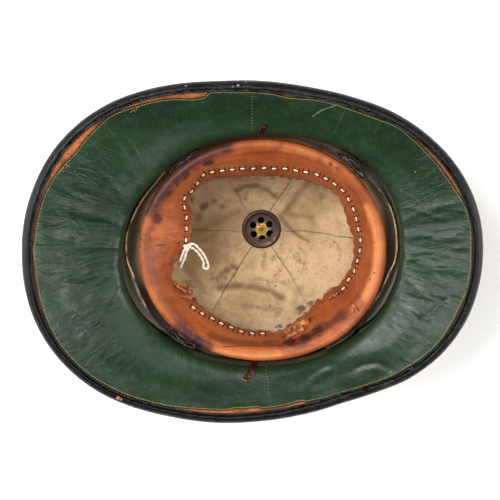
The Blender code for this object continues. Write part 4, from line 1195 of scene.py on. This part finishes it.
def band_profile(bearing):
    """Middle of the band's leather from the torn inner edge to the skirt, as (rows, N, 2)."""
    mouth = outline_reach(bearing, *BAND_OUTLINE)
    top = MOUTH_Z + BAND_ABOVE_MOUTH
    inner = mouth * eased(BAND_EDGE, bearing)
    level = mouth - inner
    drop = np.sqrt(np.maximum(BAND_WIDTH**2 - level**2, (BAND_WIDTH / 4) ** 2))
    edge = np.stack([inner, top - drop], -1)
    shoulder = np.stack([mouth - 0.0085, np.full(len(mouth), top - 0.0034)], -1)
    torn = np.clip(eased(BAND_TEARS, bearing), 0, 1)
    edge = edge + (shoulder - edge) * torn[:, None]
    key = [edge]
    slant = shoulder - edge
    proud = np.stack([-slant[:, 1], slant[:, 0]], -1)
    proud /= np.linalg.norm(proud, axis=-1, keepdims=True)
    for part in (0.25, 0.5, 0.75):
        bulge = 0.0022 * math.sin(math.pi * part) * (1 - torn)
        key.append(edge + slant * part + proud * bulge[:, None])
    key.append(shoulder)
    for inward, down in ((0.0055, 0.0012), (0.0030, 0.0), (0.0009, 0.0008), (0.0, 0.0030)):
        key.append(np.stack([mouth - inward, np.full(len(mouth), top - down)], -1))
    key.append(np.stack([mouth, np.full(len(mouth), top - BAND_SKIRT)], -1))
    return np.array(key)


def smooth_rows(key, counts):
    """Rows along a smooth curve through the key rows."""
    ends = np.concatenate([2 * key[:1] - key[1:2], key, 2 * key[-1:] - key[-2:-1]])
    rows = []
    for index, count in enumerate(counts):
        a, b, c, d = ends[index:index + 4]
        for t in np.arange(count) / count:
            rows.append(0.5 * (2 * b + (c - a) * t + (2 * a - 5 * b + 4 * c - d) * t**2
                               + (3 * b - a - 3 * c + d) * t**3))
    rows.append(key[-1])
    return np.array(rows)


# Columns of the band, and waves that its lace draws into the edge
BAND_AROUND, PUCKERS = 900, 54

# Bearings, and how far torn lobes of the band's edge stand in from it, in mm
BAND_FRAY = ((0, 0.0), (185, 0.0), (189, 1.2), (192, -0.6), (196, 1.0), (199, -0.8),
             (203, 0.8), (206, -0.4), (210, 0.6), (213, 0.0), (215, 5.0), (217, 1.0),
             (219.5, 6.4), (222, -1.0), (224, 0.8), (227, 0.0), (272, 0.0), (276, -1.0),
             (279, 1.6), (283, -1.2), (287, 2.2), (290, -0.6), (296, 0.6), (312, 0.0),
             (315, 1.2), (318, -1.0), (321, 1.0), (325, 0.0))

# Pixels of the photo with the radius of a stain in mm and its strength
BAND_STAINS = (
    (177, 184, 5.0, 0.8), (209, 163, 6.0, 0.9), (195, 168, 4.0, 0.5), (158, 218, 6.5, 0.85),
    (151, 228, 4.5, 0.4), (330, 164, 3.0, 0.8), (196, 342, 8.5, 1.0), (188, 335, 6.0, 0.8),
    (291, 342, 7.0, 0.8), (304, 337, 8.0, 0.85), (316, 331, 7.0, 0.75), (284, 337, 4.0, 0.6),
    (172, 300, 4.0, 0.3), (320, 160, 4.0, 0.3), (281, 145, 4.0, 0.3), (338, 168, 2.6, 0.5),
    (226, 149, 4.5, 0.5), (186, 172, 3.6, 0.6), (205, 350, 4.0, 0.5),
)
# Broad dark zones, partly stains and partly painted shade along the band's folds: pixels along
# each, its radius in mm and its strength
BAND_STAINS_AND_SHADE = (
    (((150, 206), (160, 192), (172, 179), (188, 164), (206, 153), (228, 146)), 11.0, 1.0),
    (((180, 328), (192, 340), (206, 347)), 9.0, 0.85),
    (((212, 336), (230, 341), (248, 343), (268, 343), (284, 342)), 7.5, 0.55),
    (((284, 343), (298, 341), (314, 334), (328, 325), (340, 316)), 10.0, 0.80),
    (((338, 317), (352, 303), (362, 288)), 6.0, 0.35),
    (((146, 236), (148, 252), (150, 268), (154, 284)), 6.0, 0.35),
    (((232, 156), (252, 153), (280, 152), (305, 157), (330, 168)), 3.0, 0.35),
    (((344, 180), (360, 200), (366, 220)), 3.0, 0.25),
    (((160, 292), (168, 306), (178, 318)), 6.0, 0.40),
    (((212, 166), (226, 163), (244, 161)), 4.0, 0.30),
)
# Holes, painted on the leather as near-black shade rather than cut, in rows like those of the
# stains
BAND_HOLES = ((383, 223, 1.1, 1.0), (374, 273, 1.1, 1.0), (370, 279, 1.1, 1.0),
              (141, 239, 1.0, 1.0), (185, 177, 0.9, 1.0), (320, 336, 1.0, 1.0),
              (355, 308, 1.8, 1.0), (352, 305, 1.4, 1.0))
# Painted highlight in pale zones along the band's rolled rim and its right side, and the dark seam
# at the left, in rows like those of the dark zones
BAND_PAINTED_HIGHLIGHT = (
    (((364, 296), (372, 280), (376, 262), (377, 244), (374, 226), (367, 208)), 7.0, 0.75),
    (((212, 350), (228, 353), (246, 355), (264, 356), (280, 354)), 4.5, 0.60),
    (((352, 308), (362, 296)), 5.0, 0.3),
    (((284, 150), (310, 155), (332, 166)), 5.0, 0.25),
)
BAND_SEAM = ((((140, 247), (160, 245), (180, 243)), 0.8, 0.9),)


def make_band(make_look):
    """The sweatband, puckered by its lace and frayed where its edge is torn."""
    bearing = np.arange(BAND_AROUND) * 360.0 / BAND_AROUND
    turn = np.radians(bearing)
    flat = smooth_rows(band_profile(bearing), (7, 6, 6, 6, 4, 3, 3, 3, 8))
    rows = len(flat)
    tangent = np.gradient(flat, axis=0)
    tangent /= np.linalg.norm(tangent, axis=-1, keepdims=True)
    face = np.stack([-tangent[..., 1], tangent[..., 0]], -1)
    share = np.arange(rows) / (rows - 1)
    near_edge = hump(np.arange(rows), 0, 6.0)[:, None]
    pucker = np.sin(turn * PUCKERS) * 0.00045 * near_edge
    fray = eased(BAND_FRAY, bearing) / 1000 + np.cos(turn * PUCKERS) * 0.0004
    place = polar(9, share[:, None] * 2, turn)
    waves = drift(place, (1.0, 1.0, 1.0), 8.0) * 0.0010 * (1 - share[:, None])
    ragged = np.array([noise.fractal(Vector(spot), 0.6, 2.0, 3) for spot in polar(45, 2.0, turn)])
    torn = np.clip(hump(bearing, 198, 14) + hump(bearing, 285, 12)
                   + 0.5 * hump(bearing, 318, 16) + 0.12, 0, 1)
    flat = flat - tangent * ((fray - ragged * torn * 0.0036) * near_edge**2)[..., None]
    flat = flat + face * (pucker + waves)[..., None]
    middle = polar(flat[..., 0], flat[..., 1], turn) + np.array([0.0, -BAND_SHIFT, 0.0])
    normals = polar(face[..., 0], face[..., 1], turn)
    half = BAND_LEATHER / 2
    top = middle + normals * half
    section = np.concatenate([top, (middle - normals * half)[::-1]])
    run = np.cumsum(np.linalg.norm(np.gradient(flat, axis=0), axis=-1), 0)
    skin = Skin(top, normals)
    look = make_look(blots_found(skin, BAND_STAINS), lines_found(skin, BAND_STAINS_AND_SHADE),
                     blots_found(skin, BAND_HOLES), lines_found(skin, BAND_PAINTED_HIGHLIGHT),
                     lines_found(skin, BAND_SEAM))
    piece = ring_mesh("sweatband_leather", section, look,
                      both_faces(arc_uv(turn, run, 0.09)))
    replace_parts(piece, "sweatband")
    return skin


# Pixels of the photo at the visible runs of the lace: the upper, lower and left rows
DASHES = ((212, 171.5), (222, 170), (232, 169), (242.5, 168), (253, 168), (264, 167.4),
          (274, 168), (285, 168), (296, 170), (306, 171.5), (317, 174), (326, 178),
          (335, 183.5), (343, 190), (349, 199), (354, 209), (357, 219), (359, 229), (361, 240),
          (360.5, 250.5), (358, 261), (355, 271), (349, 280), (343.6, 289), (336, 295))
LOWER_DASHES = ((262.6, 334), (252, 334), (241, 332), (231, 328), (221, 324), (212, 319),
                (202, 314), (193, 308))
LEFT_DASHES = ((185.6, 240), (186, 228.5), (186, 217.5), (184, 207.5), (184, 198), (191, 191),
               (197, 183), (203, 174.6))
# Half length, half width and half height of one run, in metres
LACE_RUN = (0.0019, 0.00075, 0.0005)
# Slots at a run's ends: their places along and aside in pixels, and their radius in metres
SLOT_AWAY, SLOT_ASIDE, SLOT_RADIUS = 2.8, (-2.2, -1.1, 0.0, 1.1, 2.2), 0.00042

# Pixels of the photo: the slit line of the band's fold, then cuts and cracks
BAND_CUTS = (
    ((222, 347), (232, 346.5), (242, 346), (252, 346), (262, 346), (272, 346.2), (281, 345.8)),
    ((351, 303), (353.5, 306), (355, 309), (357.5, 311)), ((354.5, 309), (354, 313)),
    ((334, 297), (332, 299), (329.5, 300.5)), ((340, 293), (338, 295.5)),
)
# Pixels along each scrap, its radius in mm, and its opening and lean in degrees
BAND_CURLS = (
    (((286, 336), (290, 333), (297, 328), (304, 324), (311, 321)), 3.0, 230, 40),
    (((288, 339), (295, 334), (304, 330)), 2.0, 250, -30),
    (((180, 286), (184, 286), (188, 289), (190, 294)), 2.0, 240, 20),
    (((174, 284), (178, 289), (184, 292)), 1.7, 230, -40),
    (((182, 298), (187, 297), (190, 300)), 1.6, 240, 0),
    (((353, 305), (356, 308), (358, 312)), 1.1, 220, 10),
    (((330, 299), (334, 296), (337, 295)), 1.0, 230, 10),
)
# Pixels at the ends of the lining's two short seams
LINING_SEAMS = (((252, 93), (252, 136)), ((266, 367), (270.5, 408)))
# Pixels of the photo at the loose thread ends, and their reach in pixels
TUFTS = ((60, 170, 5), (66, 165, 4), (56, 172, 4), (132, 109, 4), (136, 107, 3), (104, 119, 4),
         (391, 373, 3))


def make_running_lace(band, lace, slit):
    """The lace's short runs through the band, and the slots that it goes through and the band's
    cuts, laid as thin dark strips: painted shade of the openings.
    """
    threads, slots = bmesh.new(), bmesh.new()
    for row in (DASHES, LOWER_DASHES, LEFT_DASHES):
        for index, pixel in enumerate(row):
            before, after = row[max(index - 1, 0)], row[min(index + 1, len(row) - 1)]
            spot, face = band.seen(pixel)
            start, end = band.find(before), band.find(after)
            if spot is None or start is None or end is None:
                continue
            along = (end - start).normalized()
            along = (along - face * along.dot(face)).normalized()
            stray = noise.noise(spot * 300) * 0.25
            along = (along + face.cross(along) * stray).normalized()
            add_bead(threads, spot + face * 0.0006, along, face, *LACE_RUN)
            way = (Vector(after) - Vector(before)).normalized()
            aside = Vector((-way.y, way.x)) + way * stray
            for sign in (-1, 1):
                middle = Vector(pixel) + way * SLOT_AWAY * sign
                line = [middle + aside * part for part in SLOT_ASIDE]
                if all(band.find(place) is not None for place in line):
                    path, _ = seen_path(band, line, 0.0001)
                    add_line(slots, path, SLOT_RADIUS)
    for pixels in BAND_CUTS:
        spots = [band.seen(pixel) for pixel in pixels]
        for (start, face), (end, _) in zip(spots, spots[1:]):
            way = end - start
            add_bead(slots, start + way / 2 + face * 0.0001, way.normalized(), face,
                     way.length * 0.58, 0.00030, 0.00025)
    mesh_piece("running_lace", threads, lace)
    mesh_piece("lace_slots", slots, slit)


def seen_path(skin, pixels, lift):
    """Points above a skin under pixels of the photo, and the skin's normals there."""
    found = [skin.seen(pixel) for pixel in pixels]
    found = [(spot + face * lift, face) for spot, face in found if spot is not None]
    path, ups = (smooth_rows(np.array(rows), (5,) * (len(rows) - 1)) for rows in zip(*found))
    return path, [Vector(up) for up in ups]


def make_torn_curls(band, canvas, leather, cloth):
    """Rolled scraps at the torn edges of the band, and a flap torn out of the canvas."""
    bm = bmesh.new()
    for pixels, radius, opening, lean in BAND_CURLS:
        if sum(band.find(pixel) is not None for pixel in pixels) < 2:
            continue
        path, ups = seen_path(band, pixels, 0.0004)
        add_curl(bm, path, ups, radius / 1000, math.radians(opening), BAND_LEATHER * 0.7,
                 math.radians(lean))
    mesh_piece("band_torn_curls", bm, leather)
    bm = bmesh.new()
    path, ups = seen_path(canvas, ((331, 243), (334, 243.5), (337, 246), (337.5, 250)), 0.0002)
    add_curl(bm, path, ups, 0.0016, math.radians(150), 0.0006, 0.4)
    mesh_piece("canvas_torn_flap", bm, cloth)


def make_seam_dots(skin, look):
    """Needle holes and thread ends of the lining's two short seams."""
    bm = bmesh.new()
    for start, end in LINING_SEAMS:
        way = Vector(end) - Vector(start)
        steps = int(way.length / 3.0)
        for index in range(steps + 1):
            pixel = Vector(start) + way * index / steps
            spot, face = skin.seen(pixel)
            further = skin.find(pixel + way / steps)
            if spot is None or further is None:
                continue
            add_stitch(bm, spot, (further - spot).normalized(), face, 0.00034, 0.00026, 0.0002)
    mesh_piece("lining_seam_dots", bm, look)


def make_tufts(skin, look):
    """Loose thread ends at the lining's edge."""
    bm = bmesh.new()
    for index, (x, y, reach) in enumerate(TUFTS):
        for strand in range(4):
            turn = 1.7 * strand + index
            pixels = [(x + reach * 0.3 * k * math.cos(turn + 0.2 * k),
                       y + reach * 0.3 * k * math.sin(turn + 0.2 * k)) for k in range(4)]
            if any(skin.find(pixel) is None for pixel in pixels):
                continue
            path, _ = seen_path(skin, pixels, 0.0006 + 0.0003 * strand)
            add_line(bm, path, 0.00016)
    mesh_piece("lining_thread_tufts", bm, look)


def make_edge_stitches(walls, edge, look):
    """Cream thread along the green lining's edge."""
    bm = bmesh.new()
    fine = Walls(np.arange(0, 360, 0.75))
    run = np.interp(fine.bearing, np.append(walls.bearing, 360.0), np.append(edge, edge[0]))
    inset = (run - 0.0011)[None]
    points, normals = fine.place(inset, lining_lift(fine, inset) + GREEN_LEATHER + 0.0001)
    count = len(fine.bearing)
    for i in range(count):
        here, there = Vector(points[0, i]), Vector(points[0, (i + 1) % count])
        up = Vector(normals[0, i])
        along = there - here
        jitter = noise.noise(here * 900) * 0.15
        side = up.cross(along.normalized())
        way = (along.normalized() + side * jitter).normalized()
        add_stitch(bm, here + along * 0.45, way, up, along.length * 0.36, 0.00030, 0.00028)
    mesh_piece("lining_stitches", bm, look)


def panel_face(bearing, depths):
    """Least reach of the linings' face towards the head, over some depths."""
    walls = Walls(bearing)
    reaches = []
    for depth in depths:
        run = walls.run_at_depth(depth)[None]
        if depth < CANVAS_EDGE_DEPTH:
            lift = GAP + GREEN_LEATHER
        else:
            part = (depth - CANVAS_EDGE_DEPTH) / (CANVAS_LOOSE_DEPTH - CANVAS_EDGE_DEPTH)
            loose = CANVAS_STANDOFF * np.clip(eased(CANVAS_LOOSENESS, bearing), 0, 1)
            lift = GAP + GREEN_LEATHER + GAP + loose * (1 - part) + CANVAS
        reaches.append(np.linalg.norm(walls.place(run, lift)[0][0, :, :2], axis=-1))
    return np.min(reaches, axis=0)


def make_loop(name, middle, look):
    """A crumpled leather loop, with its overlapped end folded inside it."""
    top = MOUTH_Z + BAND_ABOVE_MOUTH - BAND_FOLD_RADIUS - LOOP_DROP
    bottom = top - LOOP_HEIGHT
    steps = 96
    half = LOOP_LEATHER * 0.65
    mouth = outline_reach(np.array([middle]), *BAND_OUTLINE)[0]
    half_angle = math.degrees(LOOP_LENGTH / 2 / mouth)

    def spot(along, across):
        """Middle of the leather: along the loop, and from the skirt (-1) to the lining (1)."""
        bearing = middle + half_angle * along
        reach = outline_reach(bearing % 360, *BAND_OUTLINE) + BAND_LEATHER / 2
        skirt = np.stack([reach * np.cos(np.radians(bearing)),
                          reach * np.sin(np.radians(bearing)) - BAND_SHIFT], -1)
        inside = np.linalg.norm(skirt, axis=-1) + LOOP_ROOM + half
        face = panel_face(bearing % 360, (MOUTH_Z - top, CANVAS_EDGE_DEPTH, MOUTH_Z - bottom))
        outside = np.maximum(face - LOOP_ROOM - half, inside + half)
        away = inside + (outside - inside) * (1 + across) / 2
        angle = np.arctan2(skirt[:, 1], skirt[:, 0])
        return np.stack([away * np.cos(angle), away * np.sin(angle)], -1)

    turn = 2 * np.pi * np.arange(steps) / steps
    along, across = (np.sign(part) * np.abs(part) ** 0.8 for part in (np.cos(turn), np.sin(turn)))
    crumple = ring_noise(turn, 3, middle)
    centre = spot(along, across * (0.86 + 0.28 * crumple))
    tangent = np.roll(centre, -1, 0) - np.roll(centre, 1, 0)
    tangent /= np.linalg.norm(tangent, axis=-1, keepdims=True)
    side = np.stack([tangent[:, 1], -tangent[:, 0]], -1) * half
    rim = top + 0.0016 * crumple
    rows = []
    for out, z in ((1, rim - 0.0003), (0.6, rim), (-0.6, rim), (-1, rim - 0.0003),
                   (-1, (rim + bottom) / 2), (-1, bottom), (1, bottom), (1, (rim + bottom) / 2)):
        flat = centre + side * out
        rows.append(np.concatenate([flat, np.broadcast_to(z, (steps,))[:, None]], -1))
    piece = ring_mesh(name + "_leather", np.array(rows), look)
    part = np.linspace(-0.8, 0.8, 40)
    fold = spot(part, 0.4 * np.sin(part * 4.5 + middle))
    bm = bmesh.new()
    middle_z = (top + bottom) / 2 - 0.001
    path = [Vector((x, y, middle_z + 0.0008 * math.sin(5 * k))) for (x, y), k in zip(fold, part)]
    halves = [(Vector((0, 0, LOOP_HEIGHT / 2)), tangent.cross(Vector((0, 0, 1))) * half * 0.8)
              for _, tangent, _ in frames_along(path)]
    add_strip(bm, path, halves)
    mesh_piece(name + "_fold", bm, look)
    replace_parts(piece, name)


def hook_path(middle, reach):
    """Middle of the strip, from the crown's wall over the mouth's turn to the curled tip."""
    lean = math.tan(math.radians(HOOK_LEAN))
    over_leather = GAP + GREEN_LEATHER + HOOK_ROOM + HOOK_STRIP / 2
    loose = CANVAS_STANDOFF * float(eased(CANVAS_LOOSENESS, middle))
    over_canvas = over_leather + GAP + loose + CANVAS
    wall = Walls([middle])
    spots = []
    for depth in (CANVAS_EDGE_DEPTH + HOOK_SHANK, CANVAS_EDGE_DEPTH):
        spots.append(wall.place(wall.run_at_depth(depth)[None], over_canvas)[0][0, 0])
    start = wall.points[wall.mouth_row, 0, 0]
    for turned, past in ((0, 0), (1 / 3, 0), (2 / 3, 0), (1, 0), (1, reach / 2), (1, reach)):
        run = wall.run_mouth + (wall.run_turn - wall.run_mouth) * turned + past
        out = np.interp(run[0], wall.run[:, 0], wall.points[:, 0, 0]) - start
        there = Walls([middle + math.degrees(lean * out / start)])
        run = there.run_mouth + (there.run_turn - there.run_mouth) * turned + past
        points, normals = there.place(run[None], over_leather)
        spots.append(points[0, 0])
    tip, up = spots[-1], normals[0, 0]
    along = (tip - spots[-2]) / np.linalg.norm(tip - spots[-2])
    for ahead, high in ((0.7, 0.4), (0.9, 1.3)):
        spots.append(tip + along * HOOK_CURL * ahead + up * HOOK_CURL * high)
    return np.array(spots)


def make_hook(name, middle, reach, look):
    """A smooth bent strip along the CAD hook's path."""
    route = hook_path(middle, reach)
    path = smooth_rows(route, (4,) * (len(route) - 1))
    radial = Vector((path[1][0], path[1][1], 0.0)).normalized()
    start = Vector(path[1] - path[0]).normalized().cross(radial)
    bm = bmesh.new()
    halves = [(across * HOOK_WIDTH / 2, tangent.cross(across) * HOOK_STRIP / 2)
              for _, tangent, across in frames_along(path, start)]
    add_strip(bm, path, halves)
    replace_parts(mesh_piece(name + "_strip", bm, look, 35), name)


def make_plate(look):
    """The pierced plate with its eyelet, turned from a profile of (reach, height)."""
    top = PLATE_Z + PLATE_THICKNESS
    bead = PLATE_RADIUS * 0.07
    profile = [(0.0022, top + 0.0009), (0.0028, top + 0.0010), (0.0033, top + 0.0007),
               (0.0036, top + 0.0001), (0.0050, top), (0.0080, top), (0.0110, top)]
    for inward, share in ((3.2, 0.0), (2.5, 0.5), (1.8, 1.0), (1.0, 0.95), (0.3, 0.4)):
        profile.append((PLATE_RADIUS - inward * bead, top + PLATE_BEAD * share))
    profile += [(PLATE_RADIUS, PLATE_Z + PLATE_THICKNESS / 2), (PLATE_RADIUS, PLATE_Z),
                (0.0080, PLATE_Z), (0.0022, PLATE_Z)]
    turn = np.radians(np.arange(0, 360, 3.0))
    rows = np.array([polar(reach, height, turn) for reach, height in profile])
    piece = ring_mesh("vent_plate_brass", rows, look)
    bpy.context.view_layer.objects.active = piece
    for index in range(6):
        angle = math.radians(AIR_HOLE_TURN + 60 * index)
        bm = bmesh.new()
        bmesh.ops.create_cone(bm, cap_ends=True, segments=36, radius1=AIR_HOLE_RADIUS,
                              radius2=AIR_HOLE_RADIUS, depth=0.006)
        mesh = bpy.data.meshes.new("hole")
        bm.to_mesh(mesh)
        bm.free()
        cutter = placed("hole", mesh)
        cutter.location = polar(AIR_HOLE_CIRCLE, top, angle)
        cut = piece.modifiers.new("cut", "BOOLEAN")
        cut.object, cut.operation, cut.solver = cutter, "DIFFERENCE", "EXACT"
        bpy.context.view_layer.update()
        shaped = bpy.data.meshes.new_from_object(
            piece.evaluated_get(bpy.context.evaluated_depsgraph_get()))
        piece.modifiers.clear()
        piece.data = shaped
        bpy.data.objects.remove(cutter, do_unlink=True)
    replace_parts(piece, "vent_plate")


# The middle line of the lace's free ends and bow in metres, as in the part's source
LACE_ROUTE = (
    (-0.0656, -0.0205, 0.0890), (-0.0640, -0.0160, 0.0940), (-0.0618, -0.0110, 0.0985),
    (-0.0604, -0.0060, 0.1010), (-0.0588, -0.0025, 0.1010), (-0.0560, -0.0028, 0.0995),
    (-0.0525, -0.0060, 0.0970), (-0.0492, -0.0110, 0.0935), (-0.0472, -0.0160, 0.0900),
    (-0.0474, -0.0198, 0.0878), (-0.0456, -0.0222, 0.0868), (-0.0434, -0.0202, 0.0872),
    (-0.0440, -0.0162, 0.0892), (-0.0466, -0.0096, 0.0932), (-0.0502, -0.0042, 0.0970),
    (-0.0540, 0.0000, 0.1000), (-0.0580, 0.0006, 0.1026), (-0.0612, -0.0016, 0.1040),
    (-0.0630, -0.0060, 0.1022), (-0.0646, -0.0105, 0.0990), (-0.0662, -0.0145, 0.0950),
)


def make_bow(look):
    """The lace's free ends and the bow's loop along the CAD's route, and their knot."""
    path = smooth_rows(np.array(LACE_ROUTE), (10,) * (len(LACE_ROUTE) - 1))
    bm = bmesh.new()
    add_string(bm, path, LACE_DIAMETER * 0.80, pitch=0.0048, depth=0.27)
    piece = mesh_piece("bow_string", bm, look, 80)
    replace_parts(piece, "lace_bow")
    centre = (Vector(LACE_ROUTE[4]) + Vector(LACE_ROUTE[17])) / 2
    size = 0.00105
    knot_path = []
    for k in range(73):
        t = 2 * math.pi * k / 72
        knot_path.append(centre + (RIGHTWARD * (math.sin(t) + 1.6 * math.sin(2 * t))
                                   + UPWARD * (math.cos(t) - 1.6 * math.cos(2 * t))
                                   - FORWARD * math.sin(3 * t)) * size)
    bm = bmesh.new()
    add_string(bm, knot_path, LACE_DIAMETER * 0.62)
    knot = mesh_piece("bow_knot", bm, look, 80)


def cap_look():
    """Drill on the cap's outside, and the inside of its neck painted near black as shade, with the
    brass post at its middle.
    """
    look = drill_builder("cap_drill_cloth")
    away = look.vector("LENGTH", look.vector("MULTIPLY", look.where, (1.0, 1.0, 0.0), "Vector"))
    within = look.sums("MULTIPLY", look.ranged(away, 0.0119, 0.0116),
                       look.ranged(look.axis("Z"), CAP_FLOOR * 0.7, CAP_FLOOR * 0.9))
    # Painted shade: near black inside the neck, round the brass post's own colour
    dark = look.mix(look.ranged(away, 0.0030, 0.0026), rgb(7, 5, 4), rgb(120, 92, 48))
    look.give("Base Color", look.mix(within, look.tone, dark))
    return look.material


add_camera()
add_studio()
WALLS = Walls(ROUND)
drill = drill_builder("khaki_drill_cloth").material
make_shell(WALLS, drill)
make_strip(WALLS, strip_look())
lining, lining_run = make_lining(WALLS, green_look)
cream = thread_look("cream_thread", (104, 80, 38), (190, 160, 92))
make_edge_stitches(WALLS, lining_run, cream)
make_seam_dots(lining, cream)
make_tufts(lining, cream)
make_binding(WALLS, binding_look, thread_look("black_thread", (8, 8, 8), (52, 50, 48)))
canvas = make_canvas(WALLS, canvas_look)
band = make_band(tan_look)
white = thread_look("white_cotton", (214, 192, 164), (252, 242, 226))
# Painted shade for the lace's slots and the band's cuts
slit = Look("slot_shadow", specular=0.1)
slit.tint(slit.noise(300.0), (30, 12, 6), (74, 32, 16))
slit.give("Roughness", 0.95)
make_running_lace(band, white, slit.material)
brown = brown_look()
for loop_name, loop_middle in LOOPS:
    make_loop(loop_name, loop_middle, brown)
scrap = Look("torn_leather_scrap", specular=0.25)
scrap.tint(scrap.ranged(scrap.noise(260.0, 4.0), 0.35, 0.65), (112, 54, 28), (184, 118, 78))
scrap.give("Roughness", 0.8)
make_torn_curls(band, canvas, scrap.material, canvas_look([], [], []))
copper = metal_look("tarnished_copper", (48, 30, 24), (120, 78, 62))
for hook_name, hook_middle, hook_share in HOOKS:
    make_hook(hook_name, hook_middle, hook_share * HOOK_REACH, copper)
make_plate(metal_look("aged_brass_plate", (66, 50, 44), (170, 136, 72),
                      ((0.0, 0.0, PLATE_Z), 0.0086)))
cap = bpy.data.objects["vent_cap"]
cap_cloth = cap_look()
for cap_slot in cap.material_slots:
    cap_slot.material = cap_cloth
make_bow(white)

bpy.context.view_layer.update()
